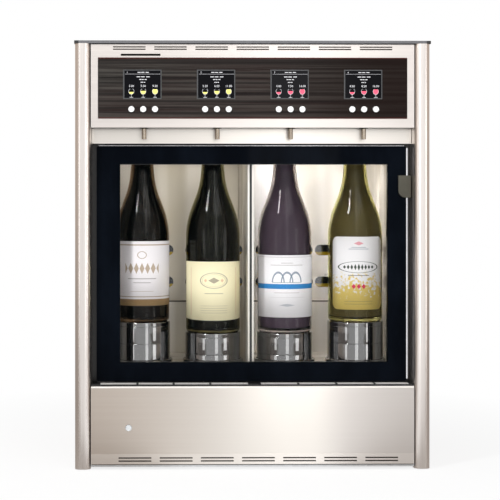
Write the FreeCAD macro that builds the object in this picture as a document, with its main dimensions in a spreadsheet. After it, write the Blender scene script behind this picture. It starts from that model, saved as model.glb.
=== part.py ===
import FreeCAD, Part
import os
import re
import Sketcher

# Four-bottle wine preservation dispenser: a free-standing cabinet with two cooled compartments
# behind a hinged glass door, and a dispensing head above. Millimetres, +Z up, the front faces -Y,
# and the origin is on the worktop under the middle of the case.

doc = FreeCAD.newDocument("wine_dispenser")

# driving sizes
sizes = {
    # case
    "case_width": 520,
    "case_depth": 366,
    "case_height": 627,
    "column_width": 23,
    "nose_radius": 9,
    "wall_thickness": 1.5,
    "sheet_thickness": 1.2,
    "top_thickness": 4,
    "top_overhang": 1,
    "shadow_gap": 1.5,
    "rear_recess": 12,
    "fit_gap": 0.3,
    "foot_height": 4,
    "foot_radius": 14,
    "foot_inset": 40,
    "column_rise": 1,
    "base_thickness": 4,
    "screw_radius": 2,
    "screw_head_radius": 4,
    "screw_head_height": 1.8,
    "screw_length": 7,
    "screw_clearance": 0.1,
    # head
    "head_height": 122.9,
    "fascia_setback": 3,
    "vent_length": 47.5,
    "vent_width": 1.8,
    "vent_count": 7,
    "vent_share": 0.2543,
    "vent_drop": 5.2,
    "vent_row_pitch": 3.4,
    "card_width": 58,
    "card_slot_height": 3,
    "card_offset": 164,
    "card_drop": 16.7,
    "reader_depth": 68,
    "reader_height": 7.6,
    "reader_margin": 4,
    "panel_margin": 10.75,
    "panel_height": 89,
    "panel_drop": 20.8,
    "panel_thickness": 4,
    "panel_proud": 1,
    "panel_corner": 1.5,
    "panel_gap": 0.2,
    "display_width": 56,
    "display_height": 42.7,
    "display_depth": 12,
    "display_rim": 1.3,
    "display_sink": 0.6,
    "display_drop": 39,
    "station_count": 4,
    "station_share": 0.5238,
    "button_radius": 4.4,
    "button_pitch": 17.3,
    "button_offset": 1.3,
    "button_drop": 75.4,
    "button_proud": 2,
    "button_travel": 1.5,
    "button_flange": 1,
    "button_flange_width": 1.2,
    "button_stem_radius": 2.6,
    "board_thickness": 1.6,
    "board_height": 80,
    "board_gap": 0.4,
    "board_drop": 23,
    "splash_height": 20.4,
    "splash_gap": 2.2,
    "joggle_depth": 3,
    "deck_rise": 3.3,
    # dispensing line
    "spout_setback": 14,
    "spout_radius": 3.4,
    "spout_bore": 2.2,
    "spout_offset": 2.5,
    "spout_drop": 16.7,
    "collar_radius": 6.5,
    "collar_height": 1.2,
    "valve_width": 30,
    "valve_depth": 20,
    "valve_height": 16.3,
    "coil_radius": 6.5,
    "coil_length": 24,
    "line_radius": 2.5,
    "line_bend": 8,
    "line_clearance": 0.05,
    "dip_length": 262,
    "seal_head_radius": 20,
    "seal_head_height": 19.8,
    "seal_head_cap": 6.5,
    "seal_radius": 16.2,
    "seal_nose_radius": 8.7,
    "seal_nose_length": 6,
    "manifold_end": 17.4,
    "manifold_depth": 24,
    "manifold_height": 22,
    "manifold_setback": 150,
    "gas_pipe_radius": 3,
    "gas_fitting_radius": 8,
    "gas_bore": 4,
    "gas_bore_length": 14,
    "gas_offset": 60,
    # door
    "door_recess": 28,
    "side_gap": 7.7,
    "door_gap": 3.5,
    "door_corner": 3,
    "glass_thickness": 5,
    "door_frame_depth": 8,
    "door_border": 27.3,
    "hinge_stile": 34.5,
    "door_frame_inset": 2,
    "gasket_depth": 4,
    "gasket_width": 10,
    "gasket_inset": 9,
    "pivot_inset": 6,
    "pin_radius": 2.5,
    "pin_clearance": 0.05,
    "leaf_thickness": 1.2,
    "leaf_length": 26,
    "lug_wall": 2.7,
    "lug_height": 4,
    "lug_gap": 0.5,
    "pull_width": 19,
    "pull_height": 33,
    "pull_thickness": 4,
    "pull_round": 11,
    "pull_overhang": 6.8,
    "pull_below_top": 43.6,
    # drip gutter and lower front
    "tray_level": 124.2,
    "tray_depth": 22,
    "tray_wall": 2,
    "tray_flange": 4.5,
    "grid_gap": 19,
    "grid_end": 10.2,
    "grid_offset": 3.5,
    "grid_thickness": 1.5,
    "grid_ledge": 2,
    "grid_slot_width": 2.4,
    "grid_slot_margin": 3,
    "grid_slot_count": 5,
    "grid_web": 2.5,
    "grid_row_pitch": 5,
    "door_lift": 2,
    "shelf_thickness": 2,
    "apron_round": 2.6,
    "apron_drop": 2.4,
    "grille_length": 48,
    "grille_width": 2,
    "grille_rise": 8,
    "grille_row_pitch": 4.5,
    "grille_offset": 8.3,
    "groove_rise": 15,
    "groove_width": 0.8,
    "groove_depth": 0.5,
    "power_inset": 55.2,
    "power_rise": 53.4,
    "power_radius": 4.5,
    # cold cabinet
    "frame_thickness": 2,
    "liner_wall": 1.2,
    "liner_floor": 140,
    "divider_half": 4.4,
    "divider_core": 1.6,
    "ledge_drop": 263.1,
    "ledge_depth": 12,
    "insulation_side": 26.7,
    "insulation_back": 12.8,
    "insulation_top": 26.4,
    "insulation_floor": 12,
    "neck_hole_radius": 23,
    "guide_height": 16.5,
    "guide_depth": 11,
    "guide_near": 41,
    "guide_far": 48,
    "guide_wide": 56,
    "guide_gap": 3,
    "guide_low": 231.2,
    "guide_high": 181.7,
    "guide_arm": 8,
    "guide_arm_inset": 14,
    # bottles and lifts
    "bottle_depth": 93,
    "bottle_shift": 1.5,
    "bottle_radius": 41.1,
    "bottle_wall": 2.8,
    "bottle_base": 6,
    "bottle_heel": 5,
    "bottle_tall": 295.5,
    "bottle_short": 279,
    "mouth_rise": 7.1,
    "neck_length": 74,
    "neck_root": 20,
    "neck_radius": 14,
    "neck_bore": 9.3,
    "lip_radius": 14.8,
    "lip_height": 8,
    "shoulder_length": 55,
    "shoulder_round": 110,
    "lift_radius": 42.3,
    "lift_wall": 3,
    "lift_cap": 6,
    "lift_travel": 46,
    "lift_floor_gap": 12.5,
    "lift_seam": 32,
    "seam_width": 1,
    "seam_depth": 0.8,
    "lift_edge": 1.5,
    "sleeve_wall": 2,
    # cooling, fan and power
    "sink_overlap": 12.8,
    "sink_depth": 18.8,
    "sink_height": 120,
    "sink_rise": 250,
    "sink_base": 4,
    "fin_count": 20,
    "fin_thickness": 1.5,
    "cold_block": 50,
    "fan_size": 120,
    "fan_depth": 25,
    "fan_bore": 57.5,
    "rotor_radius": 56,
    "rotor_hub": 19,
    "rotor_depth": 15,
    "rotor_front_gap": 2,
    "shaft_radius": 3,
    "blade_count": 7,
    "blade_thickness": 1.6,
    "blade_width": 17,
    "blade_angle": 35,
    "blade_bite": 3,
    "strut_width": 6,
    "strut_depth": 4,
    "supply_width": 190,
    "supply_depth": 90,
    "supply_height": 50,
    "supply_setback": 30,
    "inlet_margin": 70,
    "inlet_rise": 40,
    "inlet_width": 48,
    "inlet_height": 34,
    "inlet_depth": 24,
    "inlet_flange": 3,
    "socket_width": 24,
    "socket_height": 16,
    "socket_depth": 16,
    "rocker_pitch": 38,
    "rocker_width": 14,
    "rocker_radius": 11,
    "rocker_depth": 6,
    "rocker_tilt": 10,
    "rocker_gap": 0.5,
    "switch_frame": 5,
    "air_slot_length": 120,
    "air_slot_width": 4,
    "air_slot_pitch": 10,
    "air_slot_count": 11,
}

# places that follow from the driving sizes
places = {
    "front": "-case_depth / 2",
    "back": "case_depth / 2",
    "side": "case_width / 2",
    "cover_back": "back - rear_recess",
    "cover_front": "cover_back - sheet_thickness",
    "inner_side": "side - column_width",
    "fill_side": "inner_side - fit_gap",
    "top_under": "case_height - top_thickness",
    "head_top": "top_under - shadow_gap",
    "head_under": "top_under - head_height",
    "base_top": "foot_height + base_thickness",
    "fascia_front": "front + fascia_setback",
    "fascia_back": "fascia_front + sheet_thickness",
    "vent_pitch": "fill_side * vent_share",
    "panel_width": "2 * (inner_side - panel_margin)",
    "panel_front": "fascia_front - panel_proud",
    "panel_back": "panel_front + panel_thickness",
    "panel_top": "top_under - panel_drop",
    "panel_bottom": "panel_top - panel_height",
    "liner_outset": "fill_side - insulation_side",
    "station_pitch": "(liner_outset - divider_half) * station_share",
    "bottle_outset": "(liner_outset + divider_half) / 2 + bottle_shift",
    "station_one": "-station_pitch * (station_count - 1) / 2",
    "display_back": "panel_front + display_depth",
    "button_row": "panel_top - button_drop",
    "button_front": "panel_front - button_proud",
    "board_front": "display_back + board_gap",
    "board_back": "board_front + board_thickness",
    "board_top": "top_under - board_drop",
    "card_level": "top_under - card_drop",
    "door_front": "front + door_recess",
    "glass_back": "door_front + glass_thickness",
    "frame_back": "glass_back + door_frame_depth",
    "gasket_back": "frame_back + gasket_depth",
    "seal_face": "gasket_back + fit_gap",
    "door_left": "-inner_side + side_gap",
    "door_right": "inner_side - side_gap",
    "door_bottom": "tray_level + door_lift",
    "pivot_x": "door_left + pivot_inset",
    "pivot_y": "door_front + pivot_inset",
    "lug_half": "pin_radius + lug_wall",
    "bottom_lug": "door_bottom - leaf_thickness - lug_gap - lug_height",
    "splash_front": "door_front - lug_gap",
    "splash_top": "head_under - splash_gap",
    "splash_bottom": "splash_top - splash_height",
    "door_top": "splash_bottom - door_gap",
    "door_height": "door_top - door_bottom",
    "top_lug": "door_top + leaf_thickness + lug_gap",
    "deck_under": "splash_bottom + deck_rise",
    "deck_top": "deck_under + sheet_thickness",
    "spout_y": "front + spout_setback",
    "valve_front": "panel_back + fit_gap",
    "line_start": "valve_front + valve_depth",
    "head_floor": "head_under + sheet_thickness",
    "liner_front": "seal_face + frame_thickness",
    "fan_front": "cover_front - fan_depth",
    "foam_back": "fan_front - sink_depth",
    "liner_back": "foam_back - insulation_back - liner_wall",
    "foam_top": "deck_under - fit_gap",
    "liner_top": "foam_top - insulation_top",
    "liner_under": "liner_floor - liner_wall",
    "foam_bottom": "liner_under - insulation_floor",
    "bottle_y": "front + bottle_depth",
    "mouth_level": "deck_top + mouth_rise",
    "ledge_level": "mouth_level - ledge_drop",
    "lift_bottom": "base_top + lift_travel + lift_floor_gap",
    "lift_bore": "lift_radius + fit_gap",
    "sleeve_radius": "lift_bore + sleeve_wall",
    "fan_level": "sink_rise + sink_height / 2",
    "cold_x": "(liner_outset + divider_half) / 2",
    "sink_side": "cold_x + cold_block / 2 + sink_overlap",
    "apron_top": "tray_level - apron_drop",
    "tray_front": "fascia_front + tray_flange + fit_gap",
    "tray_back": "splash_front - fit_gap",
    "tray_top": "tray_level - fit_gap",
    "tray_bottom": "tray_top - tray_depth",
    "grid_front": "tray_front + grid_ledge",
    "grid_back": "tray_back - grid_ledge",
    "grid_under": "tray_level - grid_thickness",
    "grid_width": "fill_side - grid_gap / 2 - grid_end",
    "wine_level": "deck_top + seal_head_height + line_bend + sheet_thickness",
    "manifold_y": "front + manifold_setback",
    "manifold_side": "bottle_outset + station_pitch / 2 + manifold_end",
    "gas_level": "deck_top + manifold_height / 2",
    "inlet_offset": "side - inlet_margin",
    "rocker_offset": "inlet_offset - rocker_pitch",
    "module_left": "-inlet_offset - inlet_width / 2",
    "module_right": "-rocker_offset + rocker_width / 2 + switch_frame",
    "module_under": "inlet_rise - inlet_height / 2",
    "module_top": "inlet_rise + inlet_height / 2",
    "supply_front": "cover_front - supply_setback - supply_depth",
}


def fill_sheet(name, cells):
    """A spreadsheet with one named cell for each size."""
    sheet = doc.addObject("Spreadsheet::Sheet", name)
    for row, (alias, content) in enumerate(cells.items(), 1):
        sheet.set(f"A{row}", alias)
        sheet.set(f"B{row}", str(content))
        sheet.setAlias(f"B{row}", alias)
    return sheet


def with_sheet(text, names, sheet_name):
    return re.sub(r"[a-z_]+", lambda m: f"{sheet_name}.{m[0]}" if m[0] in names else m[0], text)


sheet = fill_sheet("sizes", sizes)
fill_sheet("places", {name: "=" + with_sheet(rule, sizes, "sizes") for name, rule in places.items()})
doc.recompute()


def full(text):
    """The expression with each cell's sheet in front of its name."""
    return with_sheet(with_sheet(text, places, "places"), sizes, "sizes")


def number(text):
    return float(sheet.evalExpression(full(text)))


def bind(thing, **rules):
    for name, rule in rules.items():
        thing.setExpression(name, full(rule))


def place(thing, x="0", y="0", z="0"):
    for side, rule in zip("xyz", (x, y, z)):
        thing.setExpression(f"Placement.Base.{side}", full(rule))


nodes = []


def node(thing, label):
    """Keeps a finished sub-part under the name that its file gets."""
    thing.Label = label
    nodes.append(thing)
    return thing


# plain solids and booleans


def block(name, x, y, z):
    """A box from three pairs of low and high places."""
    box = doc.addObject("Part::Box", name)
    place(box, x[0], y[0], z[0])
    spans = [f"({high}) - ({low})" for low, high in (x, y, z)]
    bind(box, Length=spans[0], Width=spans[1], Height=spans[2])
    return box


axis_turn = {
    "x": FreeCAD.Rotation(FreeCAD.Vector(0, 1, 0), 90),
    "y": FreeCAD.Rotation(FreeCAD.Vector(1, 0, 0), -90),
    "z": FreeCAD.Rotation(),
}


def rod(name, axis, x, y, z, radius):
    """A cylinder along an axis: the place on that axis is a pair, low and high."""
    at = {"x": x, "y": y, "z": z}
    low, high = at[axis]
    at[axis] = low
    cylinder = doc.addObject("Part::Cylinder", name)
    cylinder.Placement = FreeCAD.Placement(FreeCAD.Vector(), axis_turn[axis])
    place(cylinder, at["x"], at["y"], at["z"])
    bind(cylinder, Radius=radius, Height=f"({high}) - ({low})")
    return cylinder


def fuse(name, shapes):
    joined = doc.addObject("Part::MultiFuse", name)
    joined.Shapes = shapes
    return joined


def cut(name, base, tools):
    result = doc.addObject("Part::Cut", name)
    result.Base = base
    result.Tool = tools[0] if len(tools) == 1 else fuse(f"{name}_tools", tools)
    return result


def group(name, shapes):
    """Separate solids that share one node."""
    together = doc.addObject("Part::Compound", name)
    together.Links = shapes
    return together


# bodies made from sketches


def start_body(name, x="0", y="0", z="0"):
    body = doc.addObject("PartDesign::Body", name)
    place(body, x, y, z)
    return body


def sketch_on(body, role, lift=None):
    """A sketch on one of the body's own planes, raised along the plane's normal by lift."""
    sketch = body.newObject("Sketcher::SketchObject", f"{body.Name}_sketch")
    plane = next(f for f in body.Origin.OriginFeatures if f.Role == role)
    sketch.AttachmentSupport = (plane, [""])
    sketch.MapMode = "FlatFace"
    if lift:
        sketch.setExpression("AttachmentOffset.Base.z", full(lift))
    return sketch


def dimension(sketch, kind, where, rule):
    index = sketch.addConstraint(Sketcher.Constraint(kind, *where, number(rule)))
    sketch.setExpression(f"Constraints[{index}]", full(rule))


def outline(sketch, corners):
    """A closed outline of straight lines through corners, each a pair of expressions."""
    first = sketch.GeometryCount
    count = len(corners)
    spots = [FreeCAD.Vector(number(x), number(y), 0) for x, y in corners]
    for i in range(count):
        sketch.addGeometry(Part.LineSegment(spots[i], spots[(i + 1) % count]), False)
    for i in range(count):
        here, after = first + i, first + (i + 1) % count
        sketch.addConstraint(Sketcher.Constraint("Coincident", here, 2, after, 1))
    for i, (x, y) in enumerate(corners):
        dimension(sketch, "DistanceX", (-1, 1, first + i, 1), x)
        dimension(sketch, "DistanceY", (-1, 1, first + i, 1), y)


def rectangle(sketch, left, bottom, wide, tall):
    right, top = f"{left} + {wide}", f"{bottom} + {tall}"
    outline(sketch, [(left, bottom), (right, bottom), (right, top), (left, top)])


def circle(sketch, x, y, radius):
    centre = FreeCAD.Vector(number(x), number(y), 0)
    index = sketch.addGeometry(Part.Circle(centre, FreeCAD.Vector(0, 0, 1), number(radius)), False)
    dimension(sketch, "DistanceX", (-1, 1, index, 3), x)
    dimension(sketch, "DistanceY", (-1, 1, index, 3), y)
    dimension(sketch, "Radius", (index,), radius)


def pad(body, sketch, length, reverse=False):
    feature = body.newObject("PartDesign::Pad", f"{body.Name}_pad")
    feature.Profile = sketch
    feature.Reversed = reverse
    bind(feature, Length=length)
    return feature


def pocket(body, sketch, length, reverse=False):
    feature = body.newObject("PartDesign::Pocket", f"{body.Name}_pocket")
    feature.Profile = sketch
    feature.Reversed = reverse
    bind(feature, Length=length)
    return feature


def row_of(body, feature, sketch, length, count):
    """Copies of a feature along the sketch's horizontal axis, length from first to last."""
    pattern = body.newObject("PartDesign::LinearPattern", f"{body.Name}_row")
    pattern.Originals = [feature]
    pattern.Direction = (sketch, ["H_Axis"])
    bind(pattern, Length=length, Occurrences=count)
    body.Tip = pattern
    return pattern


def revolve(body, sketch):
    feature = body.newObject("PartDesign::Revolution", f"{body.Name}_turned")
    feature.Profile = sketch
    feature.ReferenceAxis = (sketch, ["V_Axis"])
    feature.Angle = 360
    return feature


def soften(body, radius, chosen):
    """Rounds the edges of the body's last feature that chosen accepts."""
    doc.recompute()
    last = body.Tip
    edges = [f"Edge{i}" for i, edge in enumerate(last.Shape.Edges, 1) if chosen(edge)]
    feature = body.newObject("PartDesign::Fillet", f"{body.Name}_round")
    feature.Base = (last, edges)
    bind(feature, Radius=radius)
    return feature


def close(one, other):
    return abs(one - other) < 1e-4


def is_line(edge, axis):
    return isinstance(edge.Curve, Part.Line) and close(abs(edge.tangentAt(edge.FirstParameter).dot(axis)),
                                                       1)


def is_ring(edge, radius, level):
    return isinstance(edge.Curve, Part.Circle) and close(edge.Curve.Radius, radius) \
        and close(edge.Curve.Center.z, level)


along_x = FreeCAD.Vector(1, 0, 0)
along_y = FreeCAD.Vector(0, 1, 0)
along_z = FreeCAD.Vector(0, 0, 1)

# Stations are numbered 1 to 4 from the left. The lifts of 1 and 4 stand higher, for shorter bottles.
stations = [1, 2, 3, 4]
station_x = {i: f"(station_one + {i - 1} * station_pitch)" for i in stations}
spout_x = {i: f"({station_x[i]} + spout_offset)" for i in stations}
side_sign = {1: -1, 2: -1, 3: 1, 4: 1}
half_sign = {1: -1, 2: 1, 3: -1, 4: 1}
bottle_x = {i: f"({side_sign[i]} * bottle_outset + {half_sign[i]} * station_pitch / 2)" for i in stations}
bottle_size = {1: "bottle_short", 2: "bottle_tall", 3: "bottle_tall", 4: "bottle_short"}


def side_panel(name, sign):
    """A hollow column from the base to the top cover, with a rounded nose at the front."""
    body = start_body(name, "-side" if sign < 0 else "inner_side", "front", "column_rise")
    tall = "top_under - column_rise"
    deep = "cover_front - front"
    profile = sketch_on(body, "XY_Plane")
    rectangle(profile, "0", "0", "column_width", deep)
    pad(body, profile, tall)
    soften(body, "nose_radius", lambda e: is_line(e, along_z) and close(e.BoundBox.YMin, 0))
    hollow = sketch_on(body, "XY_Plane", "wall_thickness")
    inside = "nose_radius + wall_thickness"
    rectangle(hollow, "wall_thickness", inside, "column_width - 2 * wall_thickness",
              f"{deep} - wall_thickness - ({inside})")
    pocket(body, hollow, f"{tall} - 2 * wall_thickness", reverse=True)
    return body


screw_levels = ["base_top + foot_inset", "case_height / 3", "2 * case_height / 3",
                "top_under - foot_inset"]
screw_spots = [(f"({sign} * (side - column_width / 2))", level) for sign in (-1, 1)
               for level in screw_levels]


def screw_holes(name):
    """Eight clearance holes through the back cover and the columns' rear walls."""
    return [rod(f"{name}_{i}", "y", x, ("cover_front - 2 * wall_thickness",
                                        "cover_back + wall_thickness"), z,
                "screw_radius + screw_clearance") for i, (x, z) in enumerate(screw_spots)]


for label, sign in (("side_panel_left", -1), ("side_panel_right", 1)):
    holes = screw_holes(f"{label}_hole")[:4] if sign < 0 else screw_holes(f"{label}_hole")[4:]
    node(cut(f"{label}_drilled", side_panel(f"{label}_body", sign), holes), label)

screws = []
for i, (x, z) in enumerate(screw_spots):
    shank = rod(f"screw_shank_{i}", "y", x, ("cover_back - screw_length", "cover_back"), z,
                "screw_radius")
    head = rod(f"screw_head_{i}", "y", x, ("cover_back", "cover_back + screw_head_height"), z,
               "screw_head_radius")
    screws.append(fuse(f"screw_{i}", [shank, head]))
node(group("cover_screws", screws), "cover_screws")

# base plate on four feet, with the shelf that carries the drip gutter
plate = block("base_plate", ("-fill_side", "fill_side"), ("fascia_back", "cover_front"),
              ("foot_height", "base_top"))
riser = block("shelf_riser", ("-fill_side", "fill_side"), ("tray_back - shelf_thickness", "tray_back"),
              ("base_top", "tray_bottom"))
shelf = block("shelf", ("-fill_side", "fill_side"), ("fascia_back + fit_gap", "tray_back"),
              ("tray_bottom - shelf_thickness", "tray_bottom"))
node(fuse("base_frame", [plate, riser, shelf]), "base_frame")

feet = []
for across in ("-side + foot_inset", "side - foot_inset"):
    for along in ("front + foot_inset", "cover_back - foot_inset"):
        feet.append(rod("foot", "z", across, along, ("0", "foot_height"), "foot_radius"))
node(group("feet", feet), "feet")

# top cover, with a locating web that drops between the columns behind the shadow gap
lid = start_body("top_lid", "-side - top_overhang", "front", "top_under")
lid_plan = sketch_on(lid, "XY_Plane")
rectangle(lid_plan, "0", "0", "case_width + 2 * top_overhang", "case_depth")
pad(lid, lid_plan, "top_thickness")
soften(lid, "top_thickness / 2", lambda e: is_line(e, along_z))
web = block("top_web", ("-fill_side", "fill_side"),
            ("fascia_back + reader_margin", "cover_front - wall_thickness"),
            ("top_under - shadow_gap", "top_under + sheet_thickness"))
node(fuse("top_cover", [lid, web]), "top_cover")

# back cover with air slots for the fan and openings for the connections
cover = start_body("cover_body", "-side + wall_thickness", "cover_front", "base_top")
cover_plan = sketch_on(cover, "XZ_Plane")
rectangle(cover_plan, "0", "0", "case_width - 2 * wall_thickness", "head_top - base_top")
pad(cover, cover_plan, "sheet_thickness", reverse=True)
slots = sketch_on(cover, "XZ_Plane")
rectangle(slots, "side - wall_thickness - air_slot_pitch * (air_slot_count - 1) / 2 - air_slot_width / 2",
          "fan_level - base_top - air_slot_length / 2", "air_slot_width", "air_slot_length")
row_of(cover, pocket(cover, slots, "sheet_thickness"), slots, "air_slot_pitch * (air_slot_count - 1)",
       "air_slot_count")
through_cover = ("cover_front - wall_thickness", "cover_back + wall_thickness")
cover_holes = [
    rod("gas_hole", "y", "-gas_offset", through_cover, "gas_level", "gas_fitting_radius + fit_gap"),
    block("inlet_hole", ("module_left + inlet_flange", "module_right - inlet_flange"), through_cover,
          ("module_under + inlet_flange", "module_top - inlet_flange")),
]
node(cut("cover_cut", cover, cover_holes + screw_holes("cover_hole")), "back_cover")

# head fascia: a sheet with two rows of vents, the card slot and the opening for the control panel
fascia = start_body("fascia_body", "-fill_side", "fascia_front", "head_under")
fascia_plan = sketch_on(fascia, "XZ_Plane")
rectangle(fascia_plan, "0", "0", "2 * fill_side", "head_top - head_under")
pad(fascia, fascia_plan, "sheet_thickness", reverse=True)
opening = sketch_on(fascia, "XZ_Plane")
rectangle(opening, "fill_side - panel_width / 2 - panel_gap", "panel_bottom - head_under - panel_gap",
          "panel_width + 2 * panel_gap", "panel_height + 2 * panel_gap")
rectangle(opening, "fill_side - card_offset - card_width / 2",
          "card_level - head_under - card_slot_height / 2",
          "card_width", "card_slot_height")
pocket(fascia, opening, "sheet_thickness")
vents = sketch_on(fascia, "XZ_Plane")
for row in (0, 1):
    rectangle(vents, "fill_side - vent_pitch * (vent_count - 1) / 2 - vent_length / 2",
              f"head_height - vent_drop - vent_width / 2 - {row} * vent_row_pitch", "vent_length",
              "vent_width")
row_of(fascia, pocket(fascia, vents, "sheet_thickness"), vents, "vent_pitch * (vent_count - 1)",
       "vent_count")
node(fascia, "head_fascia")

# control panel: veneered plate with four display windows and twelve button holes
panel = start_body("panel_body", "-panel_width / 2", "panel_front", "panel_bottom")
panel_plan = sketch_on(panel, "XZ_Plane")
rectangle(panel_plan, "0", "0", "panel_width", "panel_height")
pad(panel, panel_plan, "panel_thickness", reverse=True)
soften(panel, "panel_corner", lambda e: is_line(e, along_y))
windows = sketch_on(panel, "XZ_Plane")
rectangle(windows, "panel_width / 2 + station_one - display_width / 2 - panel_gap",
          "panel_height - display_drop - display_height / 2 - panel_gap",
          "display_width + 2 * panel_gap", "display_height + 2 * panel_gap")
for spot in (-1, 0, 1):
    circle(windows, f"panel_width / 2 + station_one + button_offset + {spot} * button_pitch",
           "panel_height - button_drop", "button_radius + fit_gap")
row_of(panel, pocket(panel, windows, "panel_thickness"), windows, "station_pitch * (station_count - 1)",
       "station_count")
node(panel, "control_panel")

displays = []
for i in stations:
    display = start_body(f"display_{i}", f"{station_x[i]} - display_width / 2", "panel_front",
                         "panel_top - display_drop - display_height / 2")
    frame_plan = sketch_on(display, "XZ_Plane")
    rectangle(frame_plan, "0", "0", "display_width", "display_height")
    pad(display, frame_plan, "display_depth", reverse=True)
    screen = sketch_on(display, "XZ_Plane")
    rectangle(screen, "display_rim", "display_rim", "display_width - 2 * display_rim",
              "display_height - 2 * display_rim")
    pocket(display, screen, "display_sink")
    displays.append(display)
node(group("displays", displays), "displays")


def push_button(name, x, z, radius, plate_thickness, stem_end):
    """A turned cap with a flange behind its plate and a stem that reaches back to stem_end."""
    body = start_body(name, x, "button_front", z)
    profile = sketch_on(body, "XY_Plane")
    seat = f"(button_proud + {plate_thickness})"
    behind = f"({seat} + button_flange)"
    rim = f"({radius} + button_flange_width)"
    outline(profile, [("0", "0"), (radius, "0"), (radius, seat), (rim, seat), (rim, behind),
                      ("button_stem_radius", behind),
                      ("button_stem_radius", f"({stem_end}) - button_front"),
                      ("0", f"({stem_end}) - button_front")])
    revolve(body, profile)
    soften(body, "button_flange / 2", lambda e: isinstance(e.Curve, Part.Circle)
           and close(e.Curve.Center.y, 0))
    return body


for i in stations:
    for spot, portion in ((-1, "taste"), (0, "half"), (1, "glass")):
        name = f"button_{i}_{portion}"
        across = f"{station_x[i]} + button_offset + {spot} * button_pitch"
        node(push_button(f"{name}_body", across, "button_row", "button_radius", "panel_thickness",
                         "board_front - button_travel - board_gap"), name)

board = block("board", ("-panel_width / 2", "panel_width / 2"), ("board_front", "board_back"),
              ("board_top - board_height", "board_top"))
node(board, "control_board")

reader_x = ("-card_offset - card_width / 2 - reader_margin",
            "-card_offset + card_width / 2 + reader_margin")
reader_case = block("reader_case", reader_x, ("fascia_back", "fascia_back + reader_depth"),
                    ("card_level - reader_height / 2", "card_level + reader_height / 2"))
reader_slot = block("reader_slot", ("-card_offset - card_width / 2", "-card_offset + card_width / 2"),
                    ("fascia_front", "fascia_back + reader_depth - reader_margin"),
                    ("card_level - card_slot_height / 2", "card_level + card_slot_height / 2"))
node(cut("reader", reader_case, [reader_slot]), "card_reader")

# head chassis: one folded sheet, with the head's floor in front, the splash panel below it
# and the deck behind that carries the sealing heads
chassis = start_body("chassis_body", "-fill_side", "fascia_back", "splash_bottom")
fold = sketch_on(chassis, "YZ_Plane")
splash = "(splash_front - fascia_back)"
under = "(head_under - splash_bottom)"
step = "(splash_height - sheet_thickness)"
outline(fold, [
    ("0", under), (f"{splash} + joggle_depth", under), (f"{splash} + joggle_depth", "splash_height"),
    (splash, "splash_height"), (splash, "0"), (f"{splash} + sheet_thickness", "0"),
    (f"{splash} + sheet_thickness", "deck_rise"), ("foam_back - fascia_back", "deck_rise"),
    ("foam_back - fascia_back", "deck_rise + sheet_thickness"),
    (f"{splash} + sheet_thickness", "deck_rise + sheet_thickness"), (f"{splash} + sheet_thickness", step),
    (f"{splash} + joggle_depth + sheet_thickness", step),
    (f"{splash} + joggle_depth + sheet_thickness", f"{under} + sheet_thickness"),
    ("0", f"{under} + sheet_thickness"),
])
pad(chassis, fold, "2 * fill_side")
node(cut("chassis_cut", chassis, [
    tool for i in stations for tool in (
        rod(f"spout_hole_{i}", "z", spout_x[i], "spout_y", ("head_under - 1", "head_floor + 1"),
            "spout_radius + line_clearance"),
        rod(f"neck_hole_{i}", "z", bottle_x[i], "bottle_y", ("deck_under - 1", "deck_top + 1"),
            "seal_radius"),
    )
]), "head_chassis")

spouts = []
for i in stations:
    spout = start_body(f"spout_{i}", spout_x[i], "spout_y", "head_under - spout_drop")
    profile = sketch_on(spout, "XZ_Plane")
    collar = "(spout_drop - collar_height)"
    tip = "(spout_drop + sheet_thickness)"
    outline(profile, [("spout_bore", "0"), ("spout_radius", "0"), ("spout_radius", collar),
                      ("collar_radius", collar), ("collar_radius", "spout_drop"),
                      ("spout_radius", "spout_drop"),
                      ("spout_radius", tip), ("spout_bore", tip)])
    revolve(spout, profile)
    soften(spout, "collar_height / 4",
           lambda e: is_ring(e, number("collar_radius"), number("spout_drop - collar_height")))
    spouts.append(spout)
node(group("spouts", spouts), "spouts")

valves = []
for i in stations:
    housing = block(f"valve_{i}", (f"{spout_x[i]} - valve_width / 2",
                                   f"{spout_x[i]} + valve_width / 2"),
                    ("valve_front", "line_start"), ("head_floor", "head_floor + valve_height"))
    coil = rod(f"valve_coil_{i}", "y", f"{bottle_x[i]} + line_radius + coil_radius + fit_gap",
               ("line_start - 1", "line_start + coil_length"), "head_floor + valve_height / 2",
               "coil_radius")
    valves.append(fuse(f"valve_with_coil_{i}", [housing, coil]))
node(group("wine_valves", valves), "wine_valves")

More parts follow.
